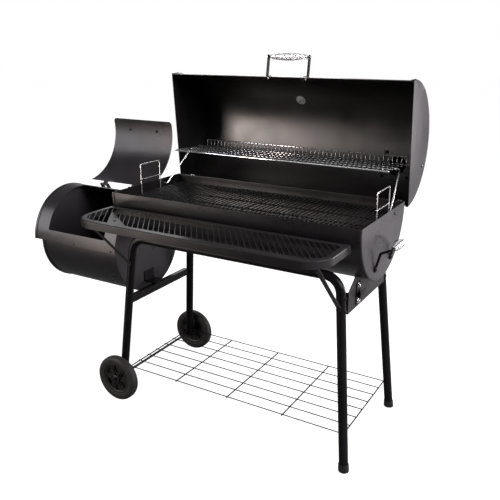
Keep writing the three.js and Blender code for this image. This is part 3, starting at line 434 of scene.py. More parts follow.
def plated(name, tone, rough, scratch=0.05):
    """Bright plating: slight tone drift, fine drawn lines and soft smears."""
    mat, tree, shader, coords = nodes_of(name)
    colour = ramp(tree, noise(tree, coords, 30.0, 3.0), [(0.3, tuple(c * 0.86 for c in tone)), (0.7, tone)])
    tree.links.new(colour, shader.inputs["Base Color"])
    shader.inputs["Metallic"].default_value = 0.8
    smear = ramp(tree, noise(tree, coords, 55.0, 4.0, 0.65), [(0.35, rough * 0.7), (0.75, rough * 1.6)])
    tree.links.new(smear, shader.inputs["Roughness"])
    bump(tree, shader, [(noise(tree, coords, 900.0, 2.0), scratch, 0.0001)])
    return mat


def moulded(name, dark, light, rough, grain=1400.0, strength=0.3):
    """Moulded plastic or rubber: fine spark-eroded grain and dull patches."""
    mat, tree, shader, coords = nodes_of(name)
    shader.inputs["Specular IOR Level"].default_value = 0.2
    colour = ramp(tree, noise(tree, coords, 24.0, 4.0), [(0.3, dark), (0.72, light)])
    tree.links.new(colour, shader.inputs["Base Color"])
    dull = ramp(tree, noise(tree, coords, 60.0, 4.0), [(0.3, rough - 0.06), (0.7, rough + 0.1)])
    tree.links.new(dull, shader.inputs["Roughness"])
    bump(tree, shader, [
        (noise(tree, coords, 40.0, 3.0), 0.08, 0.001),
        (noise(tree, coords, grain, 2.0), strength, 0.00015),
    ])
    return mat


SHELL = painted("satin_shell_paint", (0.0255, 0.0225, 0.0255), (0.036, 0.0320, 0.0358), 0.30, gloss=0.18)
LINER = painted("inner_paint", (0.0040, 0.0034, 0.0034), (0.0070, 0.0060, 0.0060), 0.33, haze=6.0,
                gloss=0.55)
# lighter copy of the shell paint for the lid's front hem: a painted highlight standing in for the light on that
# band
LIT_HEM_PAINT = painted("lid_hem_painted_light", (0.060, 0.057, 0.059), (0.080, 0.076, 0.078), 0.40)
FRAME = painted("black_frame_paint", (0.0050, 0.0044, 0.0052), (0.0085, 0.0075, 0.0088), 0.34,
                grain=900.0, gloss=0.08)
SHELF = painted("shelf_paint", (0.017, 0.0155, 0.0165), (0.025, 0.023, 0.0245), 0.36,
                grain=850.0, gloss=0.09)
IRON = painted("porcelain_iron", (0.007, 0.007, 0.0075), (0.013, 0.0125, 0.013), 0.30,
               grain=420.0, peel=0.22, gloss=0.16)
CHROME = plated("bright_plating", (0.80, 0.80, 0.81), 0.13)
STEEL = plated("zinc_steel", (0.52, 0.51, 0.50), 0.26)
# near-white non-metallic paint for the zinc thermometer nut: a painted sheen standing in for the light on its face
PAINTED_SHEEN_ZINC = painted("zinc_painted_sheen", (0.86, 0.86, 0.86), (0.95, 0.95, 0.95), 0.30, grain=600.0, gloss=1.0)
WIRE = plated("dull_wire", (0.20, 0.20, 0.20), 0.24)
TREAD = moulded("wheel_tread", (0.018, 0.0172, 0.0172), (0.030, 0.0285, 0.0285), 0.62)
PLASTIC = moulded("black_plastic", (0.010, 0.0095, 0.010), (0.017, 0.016, 0.017), 0.42, strength=0.2)


# ---------------------------------------------------------------- pieces
def round_edges(obj, width):
    mod = obj.modifiers.new("rounded_edges", "BEVEL")
    mod.width = width * MM
    mod.segments = 2
    mod.limit_method = "ANGLE"
    mod.angle_limit = math.radians(40)
    mod.harden_normals = True


def piece(name, solid, look, body=None, stands_for=None, drawn=None, bevel=0.0, sharp=38.0, extra=()):
    """Makes the object, in metres, from a solid in millimetres drawn closed, and hangs it on its body."""
    place = (drawn or Matrix.Identity(4)) @ DRAWN @ Matrix.Scale(MM, 4)
    mesh = bpy.data.meshes.new(name)
    mesh.from_pydata([tuple(place @ p) for p in solid.points], [], solid.faces)
    bm = bmesh.new()
    bm.from_mesh(mesh)
    bmesh.ops.remove_doubles(bm, verts=bm.verts, dist=1e-6)
    loose = [v for v in bm.verts if not v.link_faces]
    bmesh.ops.delete(bm, geom=loose, context="VERTS")
    bmesh.ops.recalc_face_normals(bm, faces=bm.faces)
    bm.to_mesh(mesh)
    bm.free()
    mesh.shade_smooth()
    mesh.set_sharp_from_angle(angle=math.radians(sharp))
    for material in (look, *extra):
        mesh.materials.append(material)
    obj = bpy.data.objects.new(name, mesh)
    bpy.context.scene.collection.objects.link(obj)
    if bevel:
        round_edges(obj, bevel)
    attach(obj, body or body_of[stands_for])
    if stands_for:
        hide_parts(stands_for)
    return obj


def stand_in(node, solid, look, **options):
    """The detailed piece that takes a CAD node's place."""
    return piece(node + "_visual", solid, look, stands_for=node, **options)


def lined(node, solid, axis_z, end=0, drawn=None, bevel=0.0, lit_hem_top=None):
    """A painted shell, or an end plate facing end, with dark inner paint and perhaps a front hem in a lighter copy
    of the shell paint: a painted highlight for the lit band along the lid's front edge.
    """
    looks = (LINER,) if lit_hem_top is None else (LINER, LIT_HEM_PAINT)
    obj = stand_in(node, solid, SHELL, drawn=drawn, bevel=bevel, extra=looks)
    back = ((drawn or Matrix.Identity(4)) @ DRAWN).inverted()
    for poly in obj.data.polygons:
        at = back @ poly.center / MM
        n = back.to_3x3() @ poly.normal
        if end:
            inward = n.x * end < -0.7
        else:
            inward = Vector((0, at.y, at.z - axis_z)).dot(n) < 0 and abs(n.x) < 0.5
        if inward:
            # inner faces low on the front hem take the lighter paint, a painted highlight; the other inner faces
            # take the dark inner paint
            poly.material_index = 2 if lit_hem_top and at.y < 0 and at.z < lit_hem_top else 1


def smoothing_group():
    """Welds a carried-over CAD mesh and shades it smooth up to its real edges."""
    tree = bpy.data.node_groups.new("smooth_up_to_edges", "GeometryNodeTree")
    tree.interface.new_socket("Geometry", in_out="INPUT", socket_type="NodeSocketGeometry")
    tree.interface.new_socket("Geometry", in_out="OUTPUT", socket_type="NodeSocketGeometry")
    start = tree.nodes.new("NodeGroupInput")
    end = tree.nodes.new("NodeGroupOutput")
    weld = tree.nodes.new("GeometryNodeMergeByDistance")
    weld.inputs["Distance"].default_value = 1e-6
    faces = tree.nodes.new("GeometryNodeSetShadeSmooth")
    edges = tree.nodes.new("GeometryNodeSetShadeSmooth")
    edges.domain = "EDGE"
    edges.inputs["Shade Smooth"].default_value = False
    angle = tree.nodes.new("GeometryNodeInputMeshEdgeAngle")
    over = tree.nodes.new("FunctionNodeCompare")
    over.operation = "GREATER_THAN"
    over.inputs[1].default_value = math.radians(34)
    link = tree.links.new
    link(start.outputs[0], weld.inputs["Geometry"])
    link(weld.outputs["Geometry"], faces.inputs["Geometry"])
    link(faces.outputs["Geometry"], edges.inputs["Geometry"])
    link(angle.outputs["Unsigned Angle"], over.inputs[0])
    link(over.outputs[0], edges.inputs["Selection"])
    link(edges.outputs["Geometry"], end.inputs[0])
    return tree


SMOOTH = smoothing_group()


def carried(node, look, bevel):
    """A CAD node whose shape is kept: rounded edges, smooth shading and its own finish."""
    obj = frame["nodes"][node]
    mod = obj.modifiers.new("smooth", "NODES")
    mod.node_group = SMOOTH
    round_edges(obj, bevel)
    obj.data.materials.clear()
    obj.data.materials.append(look)


# ---------------------------------------------------------------- values read from the CAD
barrel_lo, barrel_hi = span("barrel_shell")
BARREL_R = barrel_hi.y
BARREL_Z = barrel_lo.z + BARREL_R
BARREL_X = barrel_hi.x
RIM_Z = barrel_hi.z
end_lo, end_hi = span("barrel_end_right")
END_R = end_hi.y
_, lid_hi = span("lid_shell", LID_OPEN)
LID_R = lid_hi.y
LID_X = lid_hi.x
fire_lo, fire_hi = span("firebox_shell_upper")
low_lo, low_hi = span("firebox_shell_lower")
FIRE_LOW_R = low_hi.y
FIRE_Z = low_lo.z + FIRE_LOW_R
FIRE_R = fire_hi.z - FIRE_Z
LID_HINGES = (-467, 467)        # middles of the hinges along X
DOOR_HINGES = (-808, -648)
ALONG = Vector((1, 0, 0))


def on_round(axis_z, r, x, degrees):
    """Point on a cylinder along X, and the way out from it."""
    out = Vector((0, *polar(1, degrees)))
    return Vector((x, 0, axis_z)) + out * r, out


def fasten(solid, fastener, axis_z, r, x, degrees, inside=False):
    """Joins a bolt, screw or nut that sits on a cylinder along X, facing out or in."""
    at, out = on_round(axis_z, r, x, degrees)
    solid.join(fastener.moved(facing(at, -out if inside else out)))


def seat(at, out):
    """Stands a solid drawn upright on a cylinder along X, with its own X kept."""
    return Matrix.Translation(at) @ Matrix((ALONG, out.cross(ALONG), out)).transposed().to_4x4()


def across_x(solid):
    """A plate drawn in (y, z, x) order, turned to stand across X."""
    return Solid().add([(p[2], p[0], p[1]) for p in solid.points], solid.faces)


# ---------------------------------------------------------------- pieces that keep their CAD shape
for look, bevel, nodes in (
    (SHELF, 0.7, ("shelf_strut_left", "shelf_strut_right", "right_saddle_plate")),
    (FRAME, 0.7, ("left_cross_beam", "firebox_stay")),
    (FRAME, 0.6, ("bottle_opener", "lid_handle_arm_left", "lid_handle_arm_right", "air_damper")),
    (FRAME, 0.5, ("axle", "barrel_standoff_front", "barrel_standoff_rear")),
    (FRAME, 0.5, ("barrel_hinge_left", "barrel_hinge_right", "lid_hinge_left", "lid_hinge_right")),
    (FRAME, 0.5, ("firebox_hinge_left", "firebox_hinge_right")),
    (IRON, 0.8, ("charcoal_tray",)),
    (SHELL, 0.6, ("firebox_end_left",)),
):
    for node in nodes:
        carried(node, look, bevel)

# ---------------------------------------------------------------- leg frames and feet
_, frame_hi = span("front_leg_frame")
TUBE_R = 16.0
feet = {m["name"]: (Vector(m["pos_m"]) - ORIGIN) / MM for m in record["mounts"]}
FOOT_X = feet["foot_front"].x
FOOT_Y = feet["foot_rear"].y
LEG_TOP = frame_hi.z - TUBE_R
LEG_LOW = 78                    # where the wheels' legs end
LEAN_X = 0.09
LEAN_Y = 0.07
PLUG = [(0, -3.5), (11, -3.2), (15.2, -1.2), (16.4, 0.6), (16.4, 2.2), (0, 2.2)]
CUP = [(15.2, 0), (18.2, 1.6), (19.0, 4), (18.7, 12), (18.3, 22), (18.3, 25.4), (17.7, 26), (16.6, 26)]


def leg_point(z, side, end=1):
    """Middle of a leg at height z: side -1 is the front, end -1 the wheels' end."""
    return Vector((end * (FOOT_X - LEAN_X * z), side * (FOOT_Y - LEAN_Y * z), z))


for place, side in (("front", -1), ("rear", 1)):
    bends = [leg_point(3, side), leg_point(LEG_TOP, side)]
    bends += [leg_point(LEG_TOP, side, -1), leg_point(LEG_LOW, side, -1)]
    stand_in(f"{place}_leg_frame", rod(bends, TUBE_R, sides=36, bend=60, steps=20, ends=0.8), FRAME)
    foot = bends[-1]
    up = (leg_point(200, side, -1) - foot).normalized()
    piece(f"leg_end_plug_{place}", lathe(PLUG, 32).moved(facing(foot, up)), PLASTIC, body="base", bevel=0.3)
    rings = []
    for r, z in CUP:
        at = leg_point(z, side)
        rings.append([(x, y, z) for x, y in circle(at.x, at.y, r, 40)])
    stand_in(f"foot_cap_{place}", loft(rings), PLASTIC)


# ---------------------------------------------------------------- wheels
def wheel_tyre():
    wall = [(62, -11), (64, -15.5), (70, -17.2), (80, -17.6), (87, -16.4), (90.8, -13.2), (92.6, -9)]
    half = wall + [(93.0, -5), (92.2, -4.2), (92.2, -2.2), (93.0, -1.4)]
    return lathe(half + [(r, -z) for r, z in reversed(half)] + [(61, 9), (61, -9)], 96)


def wheel_disc():
    """Moulded disc with six windows, raised ribs on the spokes, a rim and a boss."""
    windows = []
    for i in range(6):
        mid = 60 * i + 30
        outer = [polar(52, mid + a) for a in (-17, -11, -5, 0, 5, 11, 17)]
        windows.append(outer + [polar(25, mid + a) for a in (9, 0, -9)])
    rim = [(53.5, 7), (54.5, 10), (60, 12.5), (62.5, 12), (62.5, 5), (54, 5)]
    boss = [(5.4, 5), (5.4, 17.2), (6.2, 18), (14, 18), (16.4, 16.5), (18, 7), (18, 5)]
    out = plate(circle(0, 0, 61.5, 96), windows, 1.2, 7, grid=9)
    out.join(plate(circle(0, 0, 61.5, 96), windows, -7, -1.2, grid=9))
    out.join(lathe([(6, -1.4), (61, -1.4), (61, 1.4), (6, 1.4)], 96))
    for side in (-1, 1):
        out.join(lathe([(r, side * z) for r, z in rim], 96))
        out.join(lathe([(r, side * z) for r, z in boss], 40))
        rib = loft([[(x, -1.6, side * 6), (x, 1.6, side * 6), (x, 1.2, side * h), (x, -1.2, side * h)]
                    for x, h in ((16, 14), (40, 9.5), (56, 9))])
        for i in range(6):
            out.join(rib.moved(Matrix.Rotation(math.radians(60 * i), 4, "Z")))
    return out


for place in ("front", "rear"):
    stance = Matrix.Translation(pivot(f"wheel_{place}_spin")) @ Matrix.Rotation(math.radians(90), 4, "X")
    stand_in(f"wheel_{place}_tyre", wheel_tyre().moved(stance), TREAD, sharp=32)
    stand_in(f"wheel_{place}_hub", wheel_disc().moved(stance), PLASTIC, bevel=0.8)

# ---------------------------------------------------------------- bottom wire shelf
ws_lo, ws_hi = span("bottom_shelf")
WIRE_Z = ws_lo.z + 2.4
shelf_wires = Solid()
weld = lathe([(0, -1.6), (2.2, -1.2), (2.6, 0), (2.2, 1.2), (0, 1.6)], 8)
cross_x = [ws_lo.x + 2 + (ws_hi.x - ws_lo.x - 4) * i / 4 for i in range(5)]
for i, x in enumerate(cross_x):
    reach = ws_hi.y if i in (0, 4) else 207
    shelf_wires.join(along_y(x, -reach, reach, WIRE_Z, 2.4, 14, ends=0.6))
for i in range(8):
    y = -205 + 410 * i / 7
    shelf_wires.join(along_x(ws_lo.x, ws_hi.x, y, WIRE_Z + 3.9, 1.9, ends=0.6))
    for x in cross_x:
        shelf_wires.join(weld.at(x, y, WIRE_Z + 2.1))
stand_in("bottom_shelf", shelf_wires, FRAME, sharp=50)

# ---------------------------------------------------------------- barrel
LEDGE_Z = 811                   # top of the ledges that carry the grates
LEDGE_X = 470
RISE = RIM_Z - BARREL_Z


def trough(r, steps):
    """Half circle under the barrel's middle, carried up to the rim, in (y, z)."""
    return [(-r, RIM_Z), *arc(0, BARREL_Z, r, -180, 0, steps), (r, RIM_Z)]


def lens(grow, steps=24):
    """Outline of the smoke passage between firebox and barrel, in (y, z)."""
    upper, lower = 185 + grow, 180 + grow
    gap = BARREL_Z - FIRE_Z
    drop = (upper * upper - lower * lower + gap * gap) / (2 * gap)
    a = math.degrees(math.acos(drop / upper))
    b = math.degrees(math.acos((gap - drop) / lower))
    under = arc(0, BARREL_Z, upper, -90 - a, -90 + a, steps)
    return under + arc(0, FIRE_Z, lower, 90 - b, 90 + b, steps)[1:-1]


skin = strip(trough(BARREL_R, 96), trough(BARREL_R - SHEET, 96), -BARREL_X, BARREL_X)
for side in (-1, 1):
    hem = [(side * (BARREL_R - 2.1), RIM_Z - 0.2), (side * (BARREL_R - 2.1), RIM_Z - 14)]
    hem_in = [(side * (BARREL_R - 3.6), RIM_Z - 0.6), (side * (BARREL_R - 3.6), RIM_Z - 14)]
    skin.join(strip(hem, hem_in, -BARREL_X + 14, BARREL_X - 14))
    wall, lip = side * (BARREL_R - 3.1), side * (BARREL_R - 18)
    skin.join(block(-LEDGE_X, LEDGE_X, *sorted((wall, lip)), LEDGE_Z - SHEET, LEDGE_Z))
    skin.join(block(-LEDGE_X, LEDGE_X, *sorted((lip, lip + side * SHEET)), LEDGE_Z - 10, LEDGE_Z))
lined("barrel_shell", skin, BARREL_Z, bevel=0.5)

right_end = pan_end(BARREL_Z, END_R, end_hi.x, end_lo.x, -180, 0, RISE)
lined("barrel_end_right", right_end, BARREL_Z, end=1)
face = -end_hi.x
flat_r = END_R - 4
left_end = across_x(plate(trough(flat_r, 72), [lens(0)], face, face + SHEET, grid=40))
turned_edge = [(q, face + 4 - h) for q, h in arc(flat_r, 0, 4, 90, 0, 6)]
turned_edge += [(END_R, -end_lo.x), (END_R - SHEET, -end_lo.x)]
turned_edge += [(q, face + 4 - h) for q, h in arc(flat_r, 0, 2, 0, 90, 6)]
left_end.join(swung(turned_edge, BARREL_Z, half_turn(-180, 0, RISE)))
lined("barrel_end_left", left_end, BARREL_Z, end=-1)

# ---------------------------------------------------------------- cooking grates
GRATE_Z = 814.3
for node in ("cooking_grate_left", "cooking_grate_right"):
    lo, hi = span(node)
    grate = Solid()
    for y in (-198, -48, 48, 198):
        grate.join(along_x(lo.x, hi.x, y, GRATE_Z, 3.0, ends=0.8))
    for i in range(27):
        x = lo.x + 2.6 + (hi.x - lo.x - 5.2) * i / 26
        grate.join(along_y(x, lo.y, hi.y, GRATE_Z + 4.6, 2.4, ends=0.9))
    stand_in(node, grate, IRON, sharp=50)

# ---------------------------------------------------------------- lifting handles of the charcoal tray
HOOK_Z = 738
GUARD_Z = 872
weld = lathe([(0, -2.6), (2.1, -2.2), (2.7, 0), (2.1, 2.2), (0, 2.6)], 12)
for node, side in (("tray_handle_left", -1), ("tray_handle_right", 1)):
    lo, hi = span(node)
    hook = lo.x if side > 0 else hi.x
    x = side * 490
    near, far, top = lo.y + 2, hi.y - 2, hi.z - 2
    bends = [(hook, near, HOOK_Z), (x, near, HOOK_Z), (x, near, top)]
    bends += [(x, far, top), (x, far, HOOK_Z), (hook, far, HOOK_Z)]
    wire = rod(bends, 2.0, 14, bend=5.0, steps=7, ends=0.5)
    wire.join(along_y(x, near, far, GUARD_Z, 1.8))
    for y in (near, far):
        wire.join(weld.at(x, y, GUARD_Z))
    stand_in(node, wire, CHROME, sharp=50)

# ---------------------------------------------------------------- side handle
WALL = span("side_handle_rod")[0].x
grip_lo, grip_hi = span("side_handle_coil")
GRIP = (grip_lo + grip_hi) / 2
half = [(WALL, -77, 672), (520, -77, 738), (GRIP.x, -66, GRIP.z)]
side_rod = rod(half + [(x, -y, z) for x, y, z in reversed(half)], 4.5, 18, bend=9.0, steps=8)
for y in (-77, 77):
    nut = lathe([(0, 0), (9, 0), (9, 4.6), (8.2, 6.2), (5, 8.6), (0, 9)], 28)
    side_rod.join(nut.moved(facing((WALL, y, 683), ALONG)))
stand_in("side_handle_rod", side_rod, FRAME, sharp=45)
side_grip = coil(grip_hi.y - grip_lo.y - 3.4, 13.3, 6.6, 21, wire=1.7)
side_grip = side_grip.moved(Matrix.Translation(GRIP) @ Matrix.Rotation(math.radians(90), 4, "Z"))
stand_in("side_handle_coil", side_grip, CHROME, sharp=60)

# ---------------------------------------------------------------- front shelf
fs_lo, fs_hi = span("front_shelf")
SHELF_TOP = fs_hi.z
SHELF_BACK = fs_hi.y - 6.6
SHELF_CORNER = 90.0
RIM_R = 5.0                     # rounding of the shelf's rim
FIELD_LEFT, FIELD_RIGHT, FIELD_FRONT, FIELD_BACK, FIELD_CORNER = -486.0, 451.0, -405.0, -240.0, 68.0
SLOT_PITCH = 22.3
SLOT_HALF = 9.75
LEAN = math.tan(math.radians(36))
SMALLEST_SLOT = 80.0            # square millimetres
PATCH = -354.7                  # left front corner of the plain patch with its two bolts
PATCH_TIP = PATCH + 83          # its right front corner; from there its edge leans back to the left
PATCH_EDGE = (-148, 109)
FAR = 900


def round_fronted(left, right, front, back, r):
    """Outline with square corners behind and round ones in front, anticlockwise."""
    turns = arc(left + r, front + r, r, 180, 270, 10) + arc(right - r, front + r, r, 270, 360, 10)
    return [(left, back), *turns, (right, back)]


def shelf_ring(inset, z=None):
    """The shelf's outline, moved inwards; with a height when it is part of the rim."""
    left, right, front, back = fs_lo.x + inset, fs_hi.x - inset, fs_lo.y + inset, SHELF_BACK - inset
    outline = round_fronted(left, right, front, back, SHELF_CORNER - inset)
    return outline if z is None else [(x, y, z) for x, y in outline]


def clipped(shape, field):
    """The part of a convex shape that lies inside a convex anticlockwise field."""
    for a, b in zip(field, field[1:] + field[:1]):
        kept = []
        side = [(b[0] - a[0]) * (p[1] - a[1]) - (b[1] - a[1]) * (p[0] - a[0]) for p in shape]
        for i, p in enumerate(shape):
            q, sp, sq = shape[i - 1], side[i], side[i - 1]
            if (sp >= 0) != (sq >= 0):
                t = sq / (sq - sp)
                kept.append((q[0] + (p[0] - q[0]) * t, q[1] + (p[1] - q[1]) * t))
            if sp >= 0:
                kept.append(p)
        shape = kept
        if len(shape) < 3:
            return []
    return shape


def surface(outline):
    """Area of an anticlockwise outline."""
    return sum(a[0] * b[1] - b[0] * a[1] for a, b in zip(outline, outline[1:] + outline[:1])) / 2


field = round_fronted(FIELD_LEFT, FIELD_RIGHT, FIELD_FRONT, FIELD_BACK, FIELD_CORNER)
behind_patch = [(PATCH_TIP, FIELD_FRONT), (FAR, FIELD_FRONT - 1), (FAR, 200)]
behind_patch.append((PATCH_TIP + 5 * PATCH_EDGE[0], FIELD_FRONT + 5 * PATCH_EDGE[1]))
slots = []
middle, reach = (FIELD_FRONT + FIELD_BACK) / 2, (FIELD_BACK - FIELD_FRONT) / 2 + 5
for i in range(-27, 28):
    x = i * SLOT_PITCH
    corners = ((1, -1), (1, 1), (-1, 1), (-1, -1))
    slot = [(x + end * reach * LEAN + side * SLOT_HALF, middle - end * reach) for end, side in corners]
    slot = clipped(slot, field)
    if slot and PATCH < x + LEAN * (middle - FIELD_FRONT) < PATCH + 4 * SLOT_PITCH:
        slot = clipped(slot, behind_patch)
    if surface(slot) > SMALLEST_SLOT:
        slots.append(slot)
shelf = plate(shelf_ring(RIM_R), slots, SHELF_TOP - SHEET, SHELF_TOP)
rim_z = SHELF_TOP - RIM_R
rim_out = [shelf_ring(0, fs_lo.z)]
rim_out += [shelf_ring(RIM_R - c, rim_z + s) for c, s in arc(0, 0, RIM_R, 0, 90, 6)]
rim_in = [shelf_ring(RIM_R - c, rim_z + s) for c, s in arc(0, 0, RIM_R - SHEET, 90, 0, 6)]
rim_in += [shelf_ring(SHEET, fs_lo.z), shelf_ring(0, fs_lo.z)]
shelf.join(loft(rim_out, caps=False))
shelf.join(loft(rim_in, caps=False))
for x in (-480, 455):
    shelf.join(block(x - 7, x + 7, SHELF_BACK - 1, fs_hi.y, fs_lo.z, SHELF_TOP - 1))
stand_in("front_shelf", shelf, SHELF, bevel=0.4)
patch_bolts = Solid()
for back in (30, 70):
    patch_bolts.join(dome_bolt(5.6, 2.6).at(PATCH + 33 - back * LEAN * 1.02, FIELD_FRONT + back, SHELF_TOP))
piece("shelf_patch_bolts_left", patch_bolts, FRAME, body="base")

# ---------------------------------------------------------------- lid, drawn closed
LID_END = 177.4                 # degrees from the hinge side to the front edge
# top of the hem band painted lighter, a painted highlight along the lid's front edge
LIT_HEM_TOP = 12.5
HANDLE_ANGLE = 166.0
DIAL_ANGLE = 118.7
cap_lo, cap_hi = span("chimney_cap", LID_OPEN)
FLUE_R = (cap_hi.x - cap_lo.x) / 2 - 4
FLUE_X = (cap_lo.x + cap_hi.x) / 2
FLUE_Y = cap_hi.y - FLUE_R - 4
FLUE_TOP = cap_lo.z - GAP
dial_lo, dial_hi = span("thermometer", LID_OPEN)
DIAL_X = (dial_lo.x + dial_hi.x) / 2


def flue_line(r, sides=40):
    """Where an upright pipe of radius r meets the lid, in (x, arc degrees)."""
    return [(x, math.degrees(math.acos(y / LID_R))) for x, y in circle(FLUE_X, FLUE_Y, r, sides)]


stem_hole = [(x, DIAL_ANGLE + math.degrees(y / LID_R)) for x, y in circle(DIAL_X, 0, 5.4, 20)]
lid_skin = plate(stepped(-LID_X, LID_X, 0.0, LID_END, 24, 60), [flue_line(FLUE_R - 5), stem_hole],
                 LID_R - SHEET, LID_R, grid=(2 * LID_X / 24, LID_END / 60), wrap=wrapped(BARREL_Z))
hem = ((1.2, 1.2, 12), (1.4, 1.0, 4), (1.5, 0.8, 0.6))     # out of the sheet, into it, above its edge
hem_out = [(-LID_R - out, BARREL_Z + up) for out, _, up in hem]
hem_in = [(-LID_R + into, BARREL_Z + up) for _, into, up in hem]
lid_skin.join(strip(hem_out, hem_in, -LID_X, LID_X))
lined("lid_shell", lid_skin, BARREL_Z, drawn=LID_OPEN, bevel=0.4, lit_hem_top=BARREL_Z + LIT_HEM_TOP)

lend_lo, lend_hi = span("lid_end_right", LID_OPEN)
for node, side in (("lid_end_left", -1), ("lid_end_right", 1)):
    cap = pan_end(BARREL_Z, lend_hi.y, side * lend_hi.x, side * lend_lo.x, 0, 180, fillet=5.0)
    lined(node, cap, BARREL_Z, side, drawn=LID_OPEN)

lid_screws = Solid()
for x in LID_HINGES:
    for dx in (-5.5, 5.5):
        fasten(lid_screws, dome_bolt(3.6, 2.0), BARREL_Z, LID_R + GAP + SHEET, x + dx, 9)
        fasten(lid_screws, hex_nut(4.2, 3.0), BARREL_Z, LID_R - SHEET, x + dx, 9, inside=True)
for x in (-80, 80):
    nut = hex_nut(5.0, 3.6, washer=7.5)
    fasten(lid_screws, pan_screw(4.2, 2.6), BARREL_Z, LID_R + 4.4, x, HANDLE_ANGLE)
    fasten(lid_screws, nut, BARREL_Z, LID_R - SHEET, x, HANDLE_ANGLE, inside=True)
piece("lid_screws", lid_screws, STEEL, body="lid", drawn=LID_OPEN, sharp=40)

grip_at, _ = on_round(BARREL_Z, LID_R + 76, 0, HANDLE_ANGLE)
grip = coil(156, 13.0, 6.6, 27, wire=1.6)
grip.join(along_x(-84.6, 84.6, 0, 0, 3.6, 18, ends=0.6))
stand_in("lid_handle_coil", grip.at(*grip_at), CHROME, drawn=LID_OPEN, sharp=60)
grip_nuts = Solid()
for side in (-1, 1):
    grip_nuts.join(hex_nut(6.2, 3.4).moved(facing(grip_at + ALONG * side * 89.2, ALONG * side)))
piece("lid_handle_nuts", grip_nuts, STEEL, body="lid", drawn=LID_OPEN)

# ---------------------------------------------------------------- thermometer
DIAL = seat(*on_round(BARREL_Z, LID_R, DIAL_X, DIAL_ANGLE))
DIAL_FACE = painted("dial_face", (0.62, 0.62, 0.60), (0.70, 0.70, 0.68), 0.5)
INK = painted("dial_ink", (0.012, 0.012, 0.012), (0.02, 0.02, 0.02), 0.5)
RED = painted("dial_pointer", (0.35, 0.02, 0.015), (0.45, 0.03, 0.02), 0.4)
case = lathe([(0, 4.5), (12, 4.5), (14, 5.2), (34, 6.2), (36.5, 8), (38.4, 11), (38.8, 15), (38.8, 20),
              (38.0, 22.6), (36.4, 23.8), (34.6, 23.8), (33.8, 22.8), (33.6, 21.0), (0, 21.0)], 72)
case.join(lathe([(0, -19), (1.6, -18.6), (2.4, -17.4), (2.8, -1), (5.0, 0.2), (5.0, 5), (0, 5)], 24))
stand_in("thermometer", case.moved(DIAL), CHROME, drawn=LID_OPEN, sharp=34)
dial = lathe([(0, 21.0), (33.4, 21.0), (33.4, 21.5), (33.0, 21.7), (0, 21.7)], 72)
piece("thermometer_face", dial.moved(DIAL), DIAL_FACE, body="lid", drawn=LID_OPEN)
marks = Solid()
for k in range(31):
    start, half_width = (25.5, 0.7) if k % 5 == 0 else (28.5, 0.35)
    tick = block(start, 31.5, -half_width, half_width, 21.65, 21.95)
    marks.join(tick.moved(Matrix.Rotation(math.radians(225 - 9 * k), 4, "Z")))
marks.join(lathe([(31.7, 21.65), (32.3, 21.65), (32.3, 21.95), (31.7, 21.95)], 72))
piece("thermometer_marks", marks.moved(DIAL), INK, body="lid", drawn=LID_OPEN)
needle = loft([[(x, -w, 22.3), (x, w, 22.3), (x, w, 22.8), (x, -w, 22.8)]
               for x, w in ((-9, 1.5), (0, 1.7), (20, 0.9), (27, 0.25))])
needle = needle.moved(Matrix.Rotation(math.radians(222), 4, "Z"))
needle.join(lathe([(0, 21.6), (3, 21.6), (3, 23.0), (2.2, 23.6), (0, 23.6)], 24))
piece("thermometer_pointer", needle.moved(DIAL), RED, body="lid", drawn=LID_OPEN)
nut = lathe([(5.7, -2.3), (20.4, -2.3), (20.4, -3.0), (19.8, -3.6), (8.4, -4.4), (7.6, -6.4), (6.6, -7.2),
             (5.7, -7.2)], 72)
# the nut wears the near-white paint, a painted sheen for its lit zinc face
stand_in("thermometer_nut", nut.moved(DIAL), PAINTED_SHEEN_ZINC, drawn=LID_OPEN)

# ---------------------------------------------------------------- chimney
PIN_Y = FLUE_Y - FLUE_R - 6     # rivet the cap turns on
FLANGE_R = LID_R + GAP + 2.0    # outside of the flange round the flue's foot
flue_mid = math.degrees(math.acos(FLUE_Y / LID_R))


def level_ring(r, z):
    return [(x, y, z) for x, y in circle(FLUE_X, FLUE_Y, r, 64)]


def foot_ring(r, lid_r):
    """Where an upright pipe of radius r stands on a lid of radius lid_r."""
    return [(x, y, BARREL_Z + math.sqrt(lid_r ** 2 - y * y)) for x, y in circle(FLUE_X, FLUE_Y, r, 64)]


bore = FLUE_R - SHEET
pipe_out = [foot_ring(FLUE_R, LID_R + GAP), level_ring(FLUE_R, FLUE_TOP)]
pipe_in = [level_ring(bore, FLUE_TOP), foot_ring(bore, LID_R + GAP)]
flue = loft(pipe_out + pipe_in, caps=False, ring=True)
flue.join(plate(flue_line(FLUE_R + 18, 64), [flue_line(FLUE_R - 0.4, 64)], LID_R + GAP, FLANGE_R,
                grid=(9, 2.4), wrap=wrapped(BARREL_Z)))
bead = [(x, y, z + 0.8) for x, y, z in foot_ring(FLUE_R + 1.0, FLANGE_R)]
flue.join(sweep(bead, 1.7, 8, ring=True))
flue.join(block(FLUE_X - 7, FLUE_X + 7, PIN_Y - 6, PIN_Y + 6.6, FLUE_TOP - 14, FLUE_TOP))
rivet = lathe([(0, 0), (3, 0), (3, 4.4), (5.4, 4.5), (5.0, 6.2), (3, 7.0), (0, 7.0)], 24)
flue.join(rivet.at(FLUE_X, PIN_Y, FLUE_TOP - 1))
flue.join(sweep(level_ring(FLUE_R, FLUE_TOP - 1.6), 1.5, 8, ring=True))
stand_in("chimney_pipe", flue, SHELL, drawn=LID_OPEN, bevel=0.3)

